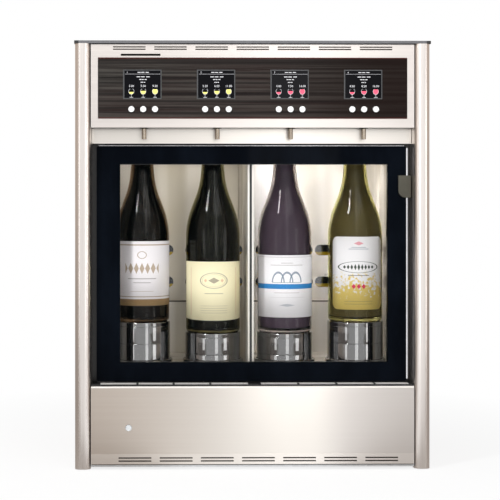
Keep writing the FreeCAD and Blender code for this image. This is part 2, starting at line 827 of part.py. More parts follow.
# each wine line rises out of the bottle through the sealing head and turns forward to its valve
lines = []
for i in stations:
    line = start_body(f"wine_line_{i}", bottle_x[i], "line_start", "mouth_level - dip_length")
    tall = "(wine_level - mouth_level + dip_length)"
    reach = "(bottle_y - line_start)"
    route = sketch_on(line, "YZ_Plane")
    corner_y, corner_z, bend = number(reach), number(tall), number("line_bend")
    start = FreeCAD.Vector(0, corner_z, 0)
    arc_start = FreeCAD.Vector(corner_y - bend, corner_z, 0)
    arc_end = FreeCAD.Vector(corner_y, corner_z - bend, 0)
    centre = FreeCAD.Vector(corner_y - bend, corner_z - bend, 0)
    route.addGeometry(Part.LineSegment(start, arc_start), False)
    turn = FreeCAD.Units.Quantity("90 deg").getValueAs("rad")
    quarter = Part.ArcOfCircle(Part.Circle(centre, along_z, bend), 0, turn)
    route.addGeometry(quarter, False)
    route.addGeometry(Part.LineSegment(arc_end, FreeCAD.Vector(corner_y, 0, 0)), False)
    route.addConstraint(Sketcher.Constraint("Tangent", 0, 2, 1, 2))
    route.addConstraint(Sketcher.Constraint("Tangent", 1, 1, 2, 1))
    dimension(route, "DistanceX", (-1, 1, 0, 1), "0")
    dimension(route, "DistanceY", (-1, 1, 0, 1), tall)
    dimension(route, "DistanceX", (-1, 1, 2, 2), reach)
    dimension(route, "DistanceY", (-1, 1, 2, 2), "0")
    dimension(route, "Radius", (1,), "line_bend")
    route.addConstraint(Sketcher.Constraint("Horizontal", 0))
    section = sketch_on(line, "XZ_Plane")
    circle(section, "0", tall, "line_radius")
    pipe = line.newObject("PartDesign::AdditivePipe", f"wine_pipe_{i}")
    pipe.Profile = section
    pipe.Spine = (route, ["Edge1", "Edge2", "Edge3"])
    lines.append(line)
node(group("wine_lines", lines), "wine_lines")

sealing_heads = []
neck_seals = []
for i in stations:
    bell = start_body(f"bell_{i}", bottle_x[i], "bottle_y", "deck_top")
    profile = sketch_on(bell, "XZ_Plane")
    cavity = "(seal_head_height - seal_head_cap)"
    bore = "(line_radius + line_clearance)"
    mouth = "(seal_radius + fit_gap)"
    outline(profile, [(mouth, "0"), ("seal_head_radius", "0"), ("seal_head_radius", "seal_head_height"),
                      (bore, "seal_head_height"), (bore, cavity), (mouth, cavity)])
    revolve(bell, profile)
    sealing_heads.append(bell)

    seal = start_body(f"seal_{i}", bottle_x[i], "bottle_y", "mouth_level - seal_nose_length")
    profile = sketch_on(seal, "XZ_Plane")
    shoulder = "(seal_nose_length + fit_gap)"
    crown = f"(deck_top + {cavity} - mouth_level + seal_nose_length)"
    outline(profile, [(bore, "0"), ("seal_nose_radius", "0"), ("seal_nose_radius", shoulder),
                      ("seal_radius", shoulder), ("seal_radius", crown), (bore, crown)])
    revolve(seal, profile)
    neck_seals.append(seal)
node(group("sealing_heads", sealing_heads), "sealing_heads")
node(group("neck_seals", neck_seals), "neck_seals")

# gas manifold on the deck: a nipple to each sealing head, and the push-in fitting at the back
manifold_parts = [block("manifold_bar", ("-manifold_side", "manifold_side"),
                        ("manifold_y", "manifold_y + manifold_depth"),
                        ("deck_top", "deck_top + manifold_height"))]
for i in stations:
    manifold_parts.append(rod(f"gas_nipple_{i}", "y", bottle_x[i],
                              ("bottle_y + seal_head_radius", "manifold_y + 1"),
                              "gas_level", "gas_pipe_radius"))
manifold_parts.append(rod("gas_pipe", "y", "-gas_offset", ("manifold_y", "cover_front"), "gas_level",
                          "gas_pipe_radius + line_radius"))
manifold_parts.append(rod("gas_fitting", "y", "-gas_offset",
                          ("cover_front - gas_bore_length", "back - shadow_gap"), "gas_level",
                          "gas_fitting_radius"))
gas_socket = rod("gas_socket", "y", "-gas_offset", ("back - shadow_gap - gas_bore_length", "back"),
                 "gas_level",
                 "gas_bore")
node(cut("manifold", fuse("manifold_solid", manifold_parts), [gas_socket]), "gas_manifold")

# cold cabinet: black frame with the hinge lugs, two liners and the foam round them
liner_side = {"left": ("-liner_outset", "-divider_half"), "right": ("divider_half", "liner_outset")}
plate = block("frame_plate", ("-fill_side", "fill_side"), ("seal_face", "liner_front"),
              ("bottom_lug", "foam_top"))
lugs = []
pin_holes = []
for end in ("top", "bottom"):
    level = f"{end}_lug"
    lugs.append(block(f"{end}_lug_block", ("pivot_x - lug_half", "pivot_x + lug_half"),
                      ("pivot_y - lug_half", "liner_front"), (level, f"{level} + lug_height")))
    pin_holes.append(rod(f"{end}_pin_hole", "z", "pivot_x", "pivot_y",
                         (f"{level} - 1", f"{level} + lug_height + 1"),
                         "pin_radius + pin_clearance"))
frame_windows = [
    block("frame_window_left", ("-liner_outset", "-divider_core"), ("seal_face - 1", "liner_front + 1"),
          ("liner_floor", "liner_top")),
    block("frame_window_right", ("divider_core", "liner_outset"), ("seal_face - 1", "liner_front + 1"),
          ("liner_floor", "liner_top")),
]
node(cut("frame_cut", fuse("frame_solid", [plate, *lugs]), frame_windows + pin_holes), "cabinet_frame")

liner_shells = {}
liners = []
for side, (low, high) in liner_side.items():
    outer_x = (f"{low} - liner_wall", "-divider_core") if side == "left" else ("divider_core",
                                                                               f"{high} + liner_wall")
    liner_shells[side] = block(f"liner_outer_{side}", outer_x, ("liner_front", "liner_back + liner_wall"),
                               ("liner_under", "liner_top + liner_wall"))
    lower = block(f"liner_lower_{side}", (low, high), ("liner_front", "liner_back - ledge_depth"),
                  ("liner_floor", "ledge_level"))
    upper = block(f"liner_upper_{side}", (low, high), ("liner_front", "liner_back"),
                  ("ledge_level", "liner_top"))
    holes = []
    for i in stations:
        if (side_sign[i] < 0) == (side == "left"):
            holes.append(rod(f"liner_neck_hole_{i}", "z", bottle_x[i], "bottle_y",
                             ("liner_top - 1", "liner_top + 2 * liner_wall"), "neck_hole_radius"))
            holes.append(rod(f"liner_lift_hole_{i}", "z", bottle_x[i], "bottle_y",
                             ("liner_under - 1", "liner_floor + 1"), "lift_bore"))
    liners.append(cut(f"liner_{side}", liner_shells[side], [lower, upper, *holes]))
node(group("liners", liners), "compartment_liners")

foam = block("foam", ("-fill_side", "fill_side"), ("liner_front", "foam_back"),
             ("foam_bottom", "foam_top"))
foam_rooms = {"left": ("-liner_outset - liner_wall", "0"), "right": ("0", "liner_outset + liner_wall")}
foam_tools = [block(f"foam_room_{side}", x, ("liner_front - 1", "liner_back + liner_wall"),
                    ("liner_under", "liner_top + liner_wall")) for side, x in foam_rooms.items()]
for i in stations:
    foam_tools.append(rod(f"foam_neck_hole_{i}", "z", bottle_x[i], "bottle_y",
                          ("liner_top", "foam_top + 1"),
                          "neck_hole_radius"))
    foam_tools.append(rod(f"foam_sleeve_hole_{i}", "z", bottle_x[i], "bottle_y",
                          ("foam_bottom - 1", "liner_floor"),
                          "sleeve_radius + fit_gap"))
cold_spots = {"left": "(-cold_x)", "right": "cold_x"}


def cold_block(name, side, margin):
    return block(name, (f"{cold_spots[side]} - cold_block / 2 - {margin}",
                        f"{cold_spots[side]} + cold_block / 2 + {margin}"),
                 ("liner_back + liner_wall", f"foam_back + {margin}"),
                 (f"fan_level - cold_block / 2 - {margin}", f"fan_level + cold_block / 2 + {margin}"))


foam_tools += [cold_block(f"cold_room_{side}", side, "fit_gap") for side in cold_spots]
node(cut("foam_cut", foam, foam_tools), "insulation")

guides = []
guide_reach = {1: ("guide_near", "guide_far"), 2: ("guide_near", "guide_far"),
               3: ("guide_near", "guide_far"), 4: ("guide_wide", "guide_near")}
for i in stations:
    left_reach, right_reach = guide_reach[i]
    for drop in ("guide_low", "guide_high"):
        body = start_body(f"{drop}_{i}", f"{bottle_x[i]} - {left_reach}",
                          "bottle_y + bottle_radius + guide_gap",
                          f"mouth_level - {drop}")
        bar = sketch_on(body, "XZ_Plane")
        rectangle(bar, "0", "0", f"({left_reach} + {right_reach})", "guide_height")
        pad(body, bar, "guide_depth", reverse=True)
        soften(body, "guide_height / 2.1", lambda e: is_line(e, along_y))
        arms = sketch_on(body, "XZ_Plane")
        for across in (f"{left_reach} - guide_arm_inset - guide_arm", f"{left_reach} + guide_arm_inset"):
            rectangle(arms, across, "(guide_height - guide_arm) / 2", "guide_arm", "guide_arm")
        pad(body, arms, "liner_back - bottle_y - bottle_radius - guide_gap", reverse=True)
        guides.append(body)
node(group("bottle_guides", guides), "bottle_guides")

# bottle lifts: pistons that slide down into sleeves on the base
sleeves = []
for i in stations:
    outer = rod(f"sleeve_outer_{i}", "z", bottle_x[i], "bottle_y", ("base_top", "liner_under"),
                "sleeve_radius")
    inner = rod(f"sleeve_inner_{i}", "z", bottle_x[i], "bottle_y", ("base_top - 1", "liner_under + 1"),
                "lift_bore")
    sleeves.append(cut(f"sleeve_{i}", outer, [inner]))
node(group("lift_sleeves", sleeves), "lift_sleeves")

for i in stations:
    lift_length = f"(mouth_level - {bottle_size[i]} - lift_bottom)"
    lift = start_body(f"lift_body_{i}", bottle_x[i], "bottle_y", "lift_bottom")
    profile = sketch_on(lift, "XZ_Plane")
    seam = f"({lift_length} - lift_seam)"
    core = "(lift_radius - lift_wall)"
    outline(profile, [(core, "0"), ("lift_radius", "0"), ("lift_radius", f"{seam} - seam_width"),
                      ("lift_radius - seam_depth", f"{seam} - seam_width"),
                      ("lift_radius - seam_depth", seam),
                      ("lift_radius", seam), ("lift_radius", lift_length), ("0", lift_length),
                      ("0", f"{lift_length} - lift_cap"), (core, f"{lift_length} - lift_cap")])
    revolve(lift, profile)
    soften(lift, "lift_edge", lambda e: is_ring(e, number("lift_radius"), number(lift_length)))
    node(lift, f"lift_{i}")

for i in stations:
    tall = bottle_size[i]
    bottle = start_body(f"bottle_body_{i}", bottle_x[i], "bottle_y", f"mouth_level - {tall}")
    profile = sketch_on(bottle, "XZ_Plane")
    neck = f"({tall} - neck_length)"
    shoulder = f"({neck} - shoulder_length)"
    room = "(bottle_radius - bottle_wall)"
    bore_root = "(neck_root - neck_radius + neck_bore)"
    outline(profile, [("0", "0"), ("bottle_radius", "0"), ("bottle_radius", shoulder), ("neck_root", neck),
                      ("neck_radius", f"{tall} - lip_height"), ("lip_radius", f"{tall} - lip_height"),
                      ("lip_radius", tall), ("neck_bore", tall), (bore_root, neck), (room, shoulder),
                      (room, "bottle_base"), ("0", "bottle_base")])
    revolve(bottle, profile)
    soften(bottle, "bottle_heel", lambda e: is_ring(e, number("bottle_radius"), 0))
    turns = [("bottle_radius", shoulder), ("neck_root", neck), (room, shoulder), (bore_root, neck)]
    for radius, level in turns:
        soften(bottle, "shoulder_round", lambda e: is_ring(e, number(radius), number(level)))
    node(bottle, f"bottle_{i}")

# door: glass bonded to a frame that carries the gasket, the hinge leaves and the pull
door_wide = "(door_right - door_left)"
glass = start_body("glass_body", "door_left", "door_front", "door_bottom")
glass_plan = sketch_on(glass, "XZ_Plane")
rectangle(glass_plan, "0", "0", door_wide, "door_height")
pad(glass, glass_plan, "glass_thickness", reverse=True)
soften(glass, "door_corner", lambda e: is_line(e, along_y))
node(glass, "door_glass")

stile = start_body("door_frame_body", "door_left + door_frame_inset", "glass_back",
                   "door_bottom + door_frame_inset")
stile_plan = sketch_on(stile, "XZ_Plane")
rectangle(stile_plan, "0", "0", f"({door_wide} - 2 * door_frame_inset)",
          "(door_height - 2 * door_frame_inset)")
rectangle(stile_plan, "hinge_stile - door_frame_inset", "door_border - door_frame_inset",
          f"({door_wide} - hinge_stile - door_border)", "(door_height - 2 * door_border)")
pad(stile, stile_plan, "door_frame_depth", reverse=True)
node(stile, "door_frame")

ring = start_body("gasket_body", "door_left + gasket_inset", "frame_back", "door_bottom + gasket_inset")
ring_plan = sketch_on(ring, "XZ_Plane")
rectangle(ring_plan, "0", "0", f"({door_wide} - 2 * gasket_inset)", "(door_height - 2 * gasket_inset)")
rectangle(ring_plan, "gasket_width", "gasket_width",
          f"({door_wide} - 2 * gasket_inset - 2 * gasket_width)",
          "(door_height - 2 * gasket_inset - 2 * gasket_width)")
pad(ring, ring_plan, "gasket_depth", reverse=True)
soften(ring, "gasket_depth / 4",
       lambda e: not is_line(e, along_y) and close(e.BoundBox.YMin, number("gasket_depth")))
node(ring, "door_gasket")

leaves = []
for end, leaf_z, pin_z in (
    ("top", ("door_top", "door_top + leaf_thickness"), ("door_top", "top_lug + lug_height")),
    ("bottom", ("door_bottom - leaf_thickness", "door_bottom"), ("bottom_lug", "door_bottom")),
):
    leaf = block(f"{end}_leaf", ("door_left + leaf_thickness", "door_left + leaf_length"),
                 ("door_front + leaf_thickness", "frame_back"), leaf_z)
    pin = rod(f"{end}_pin", "z", "pivot_x", "pivot_y", pin_z, "pin_radius")
    leaves.append(fuse(f"{end}_hinge", [leaf, pin]))
node(group("hinge_leaves", leaves), "hinge_leaves")

grip = start_body("pull_body", "door_right + pull_overhang - pull_width", "door_front - pull_thickness",
                  "door_top - pull_below_top - pull_height")
grip_plan = sketch_on(grip, "XZ_Plane")
rectangle(grip_plan, "0", "0", "pull_width", "pull_height")
pad(grip, grip_plan, "pull_thickness", reverse=True)
soften(grip, "pull_round",
       lambda e: is_line(e, along_y) and close(e.BoundBox.XMin, 0) and close(e.BoundBox.ZMin, 0))
hook = sketch_on(grip, "XZ_Plane", "-pull_thickness")
rectangle(hook, "pull_width - pull_overhang + fit_gap", "0", "pull_overhang - fit_gap", "pull_height")
pad(grip, hook, "glass_thickness", reverse=True)
soften(grip, "pull_thickness / 5", lambda e: is_line(e, along_z) and close(e.BoundBox.YMin, 0))
node(grip, "door_pull")

# drip gutter with two lift-out grids
left_grid = "(grid_offset - grid_gap / 2 - grid_width)"
right_grid = "(grid_offset + grid_gap / 2)"
tray = start_body("tray_body", "-fill_side", "tray_front", "tray_bottom")
tray_plan = sketch_on(tray, "XY_Plane")
rectangle(tray_plan, "0", "0", "2 * fill_side", "tray_back - tray_front")
pad(tray, tray_plan, "tray_depth")
seat = sketch_on(tray, "XY_Plane", "grid_under - tray_bottom")
basin = sketch_on(tray, "XY_Plane", "tray_wall")
for low in (left_grid, right_grid):
    rectangle(seat, f"{low} + fill_side - fit_gap", "grid_ledge - fit_gap", "grid_width + 2 * fit_gap",
              "grid_back - grid_front + 2 * fit_gap")
    rectangle(basin, f"{low} + fill_side + tray_wall", "grid_ledge + tray_wall / 2",
              "grid_width - 2 * tray_wall",
              "grid_back - grid_front - tray_wall")
pocket(tray, seat, "grid_thickness", reverse=True)
pocket(tray, basin, "tray_depth", reverse=True)
node(tray, "drip_tray")

for label, low in (("drip_grid_left", left_grid), ("drip_grid_right", right_grid)):
    grid = start_body(f"{label}_body", low, "grid_front", "grid_under")
    grid_plan = sketch_on(grid, "XY_Plane")
    rectangle(grid_plan, "0", "0", "grid_width", "grid_back - grid_front")
    pad(grid, grid_plan, "grid_thickness")
    drain = sketch_on(grid, "XY_Plane")
    rectangle(drain, "grid_slot_margin", "grid_slot_margin", "grid_slot_width",
              "grid_back - grid_front - 2 * grid_slot_margin")
    row_of(grid, pocket(grid, drain, "grid_thickness", reverse=True), drain,
           "grid_width - 2 * grid_slot_margin - grid_slot_width", "grid_slot_count")
    bay = "((grid_width - 2 * grid_slot_margin - grid_slot_width) / (grid_slot_count - 1))"
    bars = sketch_on(grid, "XY_Plane")
    for row in (-1, 1):
        rectangle(bars, "grid_slot_margin + grid_slot_width + grid_web",
                  f"(grid_back - grid_front - grid_slot_width + {row} * grid_row_pitch) / 2",
                  f"{bay} - grid_slot_width - 2 * grid_web", "grid_slot_width")
    row_of(grid, pocket(grid, bars, "grid_thickness", reverse=True), bars,
           f"{bay} * (grid_slot_count - 2)",
           "grid_slot_count - 1")
    node(grid, label)

# lower front: folded sheet with a rounded top edge, a seam line above the grille and the button's hole
apron = start_body("apron_body", "-fill_side", "fascia_front", "base_top")
apron_fold = sketch_on(apron, "YZ_Plane")
apron_tall = "(apron_top - base_top)"
outline(apron_fold, [("0", "0"), ("sheet_thickness", "0"), ("sheet_thickness",
                                                            f"{apron_tall} - sheet_thickness"),
                     ("tray_flange", f"{apron_tall} - sheet_thickness"), ("tray_flange", apron_tall),
                     ("0", apron_tall)])
pad(apron, apron_fold, "2 * fill_side")
soften(apron, "apron_round - sheet_thickness", lambda e: is_line(e, along_x)
       and close(e.BoundBox.YMin, number(
    "sheet_thickness")) and close(e.BoundBox.ZMin, number(f"{apron_tall} - sheet_thickness")))
soften(apron, "apron_round", lambda e: is_line(e, along_x) and close(e.BoundBox.YMin, 0)
       and close(e.BoundBox.ZMin, number(apron_tall)))
seam_line = sketch_on(apron, "XZ_Plane")
rectangle(seam_line, "0", "groove_rise", "2 * fill_side", "groove_width")
pocket(apron, seam_line, "groove_depth")
power_hole = sketch_on(apron, "XZ_Plane")
circle(power_hole, "power_inset", "power_rise", "power_radius + fit_gap")
pocket(apron, power_hole, "sheet_thickness")
grille = sketch_on(apron, "XZ_Plane")
for row in (0, 1):
    rectangle(grille, "fill_side + grille_offset - vent_pitch * (vent_count - 1) / 2 - grille_length / 2",
              f"grille_rise - grille_row_pitch / 2 - grille_width / 2 + {row} * grille_row_pitch - 1",
              "grille_length", "grille_width")
row_of(apron, pocket(apron, grille, "sheet_thickness"), grille, "vent_pitch * (vent_count - 1)",
       "vent_count")
node(apron, "lower_panel")

node(push_button("power_button_body", "-fill_side + power_inset", "base_top + power_rise", "power_radius",
                 "fascia_back - fascia_front + panel_proud",
                 "tray_back - shelf_thickness - button_travel - board_gap"),
     "power_button")

# cooling module: cold blocks against both liners, one finned heat sink, and the fan behind it
sink_parts = [block("sink_plate", ("-sink_side", "sink_side"), ("foam_back", "foam_back + sink_base"),
                    ("sink_rise", "sink_rise + sink_height"))]
for k in range(sizes["fin_count"]):
    fin_x = f"(-sink_side + {k} * (2 * sink_side - fin_thickness) / (fin_count - 1))"
    sink_parts.append(block(f"fin_{k}", (fin_x, f"{fin_x} + fin_thickness"),
                            ("foam_back + sink_base", "fan_front - fit_gap"),
                            ("sink_rise", "sink_rise + sink_height")))
sink_parts += [cold_block(f"cold_{side}", side, "0") for side in cold_spots]
node(fuse("cooling_module", sink_parts), "cooling_module")

casing = block("fan_casing", ("-fan_size / 2", "fan_size / 2"), ("fan_front", "cover_front"),
               ("fan_level - fan_size / 2", "fan_level + fan_size / 2"))
tunnel = rod("fan_tunnel", "y", "0", ("fan_front - 1", "cover_front + 1"), "fan_level", "fan_bore")
strut_y = ("cover_front - strut_depth", "cover_front")
fan_parts = [
    cut("fan_ring", casing, [tunnel]),
    rod("motor_plate", "y", "0", strut_y, "fan_level", "rotor_hub"),
    rod("motor_shaft", "y", "0", ("cover_front - strut_depth - rotor_depth", "cover_front"), "fan_level",
        "shaft_radius"),
    block("strut_across", ("-fan_bore - 1", "fan_bore + 1"), strut_y,
          ("fan_level - strut_width / 2", "fan_level + strut_width / 2")),
    block("strut_up", ("-strut_width / 2", "strut_width / 2"), strut_y,
          ("fan_level - fan_bore - 1", "fan_level + fan_bore + 1")),
]
node(fuse("fan_housing", fan_parts), "fan_housing")

rotor_y = "cover_front - strut_depth - rotor_depth - fit_gap"
rotor = start_body("rotor_body", "0", rotor_y, "fan_level")
hub = sketch_on(rotor, "XZ_Plane")
circle(hub, "0", "0", "rotor_hub")
circle(hub, "0", "0", "shaft_radius + line_clearance")
pad(rotor, hub, "rotor_depth", reverse=True)
blade = sketch_on(rotor, "XY_Plane", "rotor_hub - blade_bite")
slope = "(blade_width * sin(blade_angle))"
rise = "(blade_width * cos(blade_angle))"
skew = "(blade_thickness / cos(blade_angle))"
outline(blade, [("0", "rotor_front_gap / 2"), (skew, "rotor_front_gap / 2"),
                (f"{skew} + {slope}", f"rotor_front_gap / 2 + {rise} * 0.9"),
                (slope, f"rotor_front_gap / 2 + {rise} * 0.9")])
blade_pad = pad(rotor, blade, "rotor_radius - rotor_hub + blade_bite")
blades = rotor.newObject("PartDesign::PolarPattern", "rotor_blades")
blades.Originals = [blade_pad]
blades.Axis = (hub, ["N_Axis"])
blades.Angle = 360
bind(blades, Occurrences="blade_count")
rotor.Tip = blades
node(rotor, "fan_rotor")

node(block("power_supply", ("-supply_width / 2", "supply_width / 2"),
           ("supply_front", "supply_front + supply_depth"),
           ("base_top", "base_top + supply_height")), "power_supply")

# mains inlet module: a socket and, beside it, the room and the axle for the switch rocker
module_neck = block("module_neck", ("module_left + inlet_flange + fit_gap",
                                    "module_right - inlet_flange - fit_gap"),
                    ("cover_back - inlet_depth", "cover_back"),
                    ("module_under + inlet_flange + fit_gap", "module_top - inlet_flange - fit_gap"))
module_lip = block("module_lip", ("module_left", "module_right"),
                   ("cover_back", "cover_back + inlet_flange"),
                   ("module_under", "module_top"))
socket = block("socket", ("-inlet_offset - socket_width / 2", "-inlet_offset + socket_width / 2"),
               ("cover_back + inlet_flange - socket_depth", "back"),
               ("inlet_rise - socket_height / 2", "inlet_rise + socket_height / 2"))
rocker_room = rod("rocker_room", "x", ("-rocker_offset - rocker_width / 2 - rocker_gap",
                                       "-rocker_offset + rocker_width / 2 + rocker_gap"), "cover_back",
                  "inlet_rise",
                  "rocker_radius + rocker_gap")
rocker_axle = rod("rocker_axle", "x", ("-rocker_offset - rocker_width / 2 - rocker_gap - 1",
                                       "-rocker_offset + rocker_width / 2 + rocker_gap + 1"),
                  "cover_back",
                  "inlet_rise", "line_radius")
module = cut("module_open", fuse("module_solid", [module_neck, module_lip]), [socket, rocker_room])
node(fuse("module_with_axle", [module, rocker_axle]), "mains_inlet")

rocker_disc = rod("rocker_disc", "x", ("-rocker_offset - rocker_width / 2",
                                       "-rocker_offset + rocker_width / 2"),
                  "cover_back", "inlet_rise", "rocker_radius")
rocker_keep = block("rocker_keep", ("-rocker_offset - rocker_width", "-rocker_offset + rocker_width"),
                    ("cover_back - rocker_depth", "cover_back + rocker_depth"),
                    ("inlet_rise - rocker_radius", "inlet_rise + rocker_radius"))
rocker_bore = rod("rocker_bore", "x", ("-rocker_offset - rocker_width", "-rocker_offset + rocker_width"),
                  "cover_back", "inlet_rise", "line_radius + line_clearance")
rocker = doc.addObject("Part::Common", "rocker_solid")
rocker.Base = rocker_disc
rocker.Tool = rocker_keep
node(cut("rocker_cut", rocker, [rocker_bore]), "rear_switch")

doc.recompute()
bad = [thing.Label for thing in doc.Objects if {"Invalid", "Error"} & set(thing.State)]
bad += [thing.Label for thing in nodes if thing.Shape.isNull() or not thing.Shape.isValid()]
if bad:
    raise RuntimeError("not built: " + ", ".join(bad))

os.makedirs("parts", exist_ok=True)
for thing in nodes:
    thing.Shape.exportStep(f"parts/{thing.Label}.step")
print(len(nodes), "nodes,", sum(len(thing.Shape.Solids) for thing in nodes), "solids")
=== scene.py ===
import math
import bmesh
import bpy
from mathutils import Matrix, Vector


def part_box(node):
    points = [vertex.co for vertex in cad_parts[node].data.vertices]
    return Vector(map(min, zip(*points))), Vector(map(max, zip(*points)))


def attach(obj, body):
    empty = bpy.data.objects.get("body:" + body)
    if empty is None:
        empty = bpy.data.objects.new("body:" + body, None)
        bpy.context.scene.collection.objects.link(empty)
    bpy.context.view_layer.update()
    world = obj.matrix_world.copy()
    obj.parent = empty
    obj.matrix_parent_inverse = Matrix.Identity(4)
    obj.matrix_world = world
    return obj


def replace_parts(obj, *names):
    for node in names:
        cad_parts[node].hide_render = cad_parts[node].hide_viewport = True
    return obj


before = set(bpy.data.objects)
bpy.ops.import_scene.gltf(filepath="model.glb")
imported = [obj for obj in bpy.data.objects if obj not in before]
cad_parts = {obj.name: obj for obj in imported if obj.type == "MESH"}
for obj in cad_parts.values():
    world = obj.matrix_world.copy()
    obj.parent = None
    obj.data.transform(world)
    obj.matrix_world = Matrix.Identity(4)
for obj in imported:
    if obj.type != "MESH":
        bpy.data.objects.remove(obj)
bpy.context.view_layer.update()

print("frame loaded:", len(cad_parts), "nodes")


# shader helpers: arithmetic on sockets, and one method for every other node

class Wire:
    def __init__(self, recipe, socket):
        self.recipe = recipe
        self.socket = socket

    def maths(self, operation, *others, flipped=False):
        terms = [self, *others]
        if flipped:
            terms.reverse()
        return self.recipe.node("Math", {"operation": operation}, dict(enumerate(terms)))

    def __add__(self, other):
        return self.maths("ADD", other)

    __radd__ = __add__

    def __sub__(self, other):
        return self.maths("SUBTRACT", other)

    def __rsub__(self, other):
        return self.maths("SUBTRACT", other, flipped=True)

    def __mul__(self, other):
        return self.maths("MULTIPLY", other)

    __rmul__ = __mul__

    def __truediv__(self, other):
        return self.maths("DIVIDE", other)

    def __abs__(self):
        return self.maths("ABSOLUTE")

    def power(self, other):
        return self.maths("POWER", other)

    def squared(self):
        return self.maths("MULTIPLY", self)

    def larger(self, other):
        return self.maths("MAXIMUM", other)

    def ramp(self, low, high, toLow=0.0, toHigh=1.0):
        settings = {"interpolation_type": "SMOOTHSTEP"}
        return self.recipe.node("MapRange", settings, {0: self, 1: low, 2: high, 3: toLow, 4: toHigh})


class Recipe:
    def __init__(self, name, world=False):
        self.material = (bpy.data.worlds if world else bpy.data.materials).new(name)
        self.material.use_nodes = True
        self.tree = self.material.node_tree
        self.shader = self.tree.nodes["Background" if world else "Principled BSDF"]
        self.output = self.tree.nodes["World Output" if world else "Material Output"]

    def plug(self, value, socket):
        if isinstance(value, Wire):
            self.tree.links.new(value.socket, socket)
        else:
            socket.default_value = value

    def node(self, kind, settings=None, inputs=None, output=0):
        made = self.tree.nodes.new("ShaderNode" + kind)
        for key, value in (settings or {}).items():
            setattr(made, key, value)
        for key, value in (inputs or {}).items():
            self.plug(value, made.inputs[key])
        return Wire(self, made.outputs[output])

    def point(self):
        return self.node("TexCoord", output="Object")

    def axes(self):
        place = self.point()
        return [self.node("SeparateXYZ", None, {0: place}, side) for side in "XYZ"]

    def noise(self, scale, detail, roughness, size=1.0, move=(0, 0, 0)):
        inputs = {"Vector": self.node("Mapping", None, {0: self.point(), 1: move, 3: scale}), "Scale": size,
                  "Detail": detail, "Roughness": roughness}
        return self.node("TexNoise", None, inputs)

    def blend(self, factor, low, high):
        return self.node("Mix", {"data_type": "RGBA"}, {0: factor, 6: low, 7: high}, 2)

    def bump(self, height, strength, distance):
        return self.node("Bump", None, {"Height": height, "Strength": strength, "Distance": distance})

    def done(self, **sockets):
        for name, value in sockets.items():
            self.plug(value, self.shader.inputs[name.replace("_", " ")])
        return self.material

    def giveWay(self, factor, other):
        # the other shader takes over where the factor is 1
        both = self.node("MixShader", None, {0: factor, 1: Wire(self, self.shader.outputs[0]), 2: other})
        self.plug(both, self.output.inputs[0])


def tone(red, green, blue, alpha=1.0):
    return (red, green, blue, alpha)


def shade(colour, factor):
    return tone(*(min(1.0, part * factor) for part in colour[:3]))


# finishes

def darkAboveLevel(r, base, level, colour):
    # what stands inside the head, out of sight, is painted dark: painted shade on the splash under the head, and the
    # black top collar on the spouts
    return r.blend(r.axes()[2].ramp(level - 0.0001, level), base, colour) if level else base


def brushedSteel(name, colour, grain, roughness, depth=0.05, paintedShadeAndCollarAbove=None):
    # fine lines along the axis whose grain is small, over slow clouds of tone
    r = Recipe(name)
    lines = r.noise(grain, 4.0, 0.6)
    coarse = r.noise([part / 5 for part in grain], 2.0, 0.5)
    clouds = r.noise((5, 5, 5), 2.0, 0.5)
    streak = (lines * 0.6 + coarse * 0.4).ramp(0.32, 0.68)
    base = r.blend(streak, shade(colour, 1 - depth), shade(colour, 1 + depth))
    base = r.blend(clouds.ramp(0.35, 0.65, 0.0, 0.05), base, shade(colour, 0.8))
    # painted shade: dark brown above the level, where the head's underside lies in shade
    base = darkAboveLevel(r, base, paintedShadeAndCollarAbove, tone(0.035, 0.025, 0.02))
    rough = streak * 0.06 + clouds * 0.06 + (roughness - 0.06)
    return r.done(Base_Color=base, Metallic=1.0, Roughness=rough, Normal=r.bump(lines, 0.12, 0.0002))


def satinPaint(name, colour, roughness, peel=0.05, metallic=0.0):
    r = Recipe(name)
    fine = r.noise((1, 1, 1), 3.0, 0.6, 1400)
    slow = r.noise((1, 1, 1), 2.0, 0.5, 9)
    base = r.blend(fine.ramp(0.3, 0.7), shade(colour, 0.96), shade(colour, 1.04))
    base = r.blend(slow.ramp(0.4, 0.62, 0.0, 0.5), base, shade(colour, 0.9))
    rough = slow * 0.1 + (roughness - 0.05)
    return r.done(Base_Color=base, Metallic=metallic, Roughness=rough, Normal=r.bump(fine, peel, 0.0004))


def mouldedPlastic(name, colour, roughness, grain=0.15, size=2200, coat=0.0):
    r = Recipe(name)
    cells = r.node("TexVoronoi", None, {"Vector": r.point(), "Scale": size})
    wear = r.noise((1, 1, 1), 5.0, 0.65, 60)
    base = r.blend(wear.ramp(0.45, 0.7), colour, tone(*(part * 0.9 + 0.012 for part in colour[:3])))
    rough = wear * 0.12 + (roughness - 0.06)
    return r.done(Base_Color=base, Roughness=rough, Coat_Weight=coat, Coat_Roughness=0.08,
                  Normal=r.bump(cells, grain, 0.0003))


def liftLacquer():
    # black under a hard, bright coat, with a little dust
    r = Recipe("liftBlack")
    smears = r.noise((1, 1, 0.3), 4.0, 0.6, 26)
    dust = r.noise((1, 1, 1), 2.0, 0.5, 1800)
    base = r.blend(dust.ramp(0.66, 0.76), tone(0.004, 0.004, 0.005), tone(0.024, 0.024, 0.025))
    return r.done(Base_Color=base, Roughness=smears.ramp(0.4, 0.75, 0.04, 0.06), Coat_Weight=1.0,
                  Coat_Roughness=0.03, Coat_IOR=2.6, Normal=r.bump(smears, 0.02, 0.001))


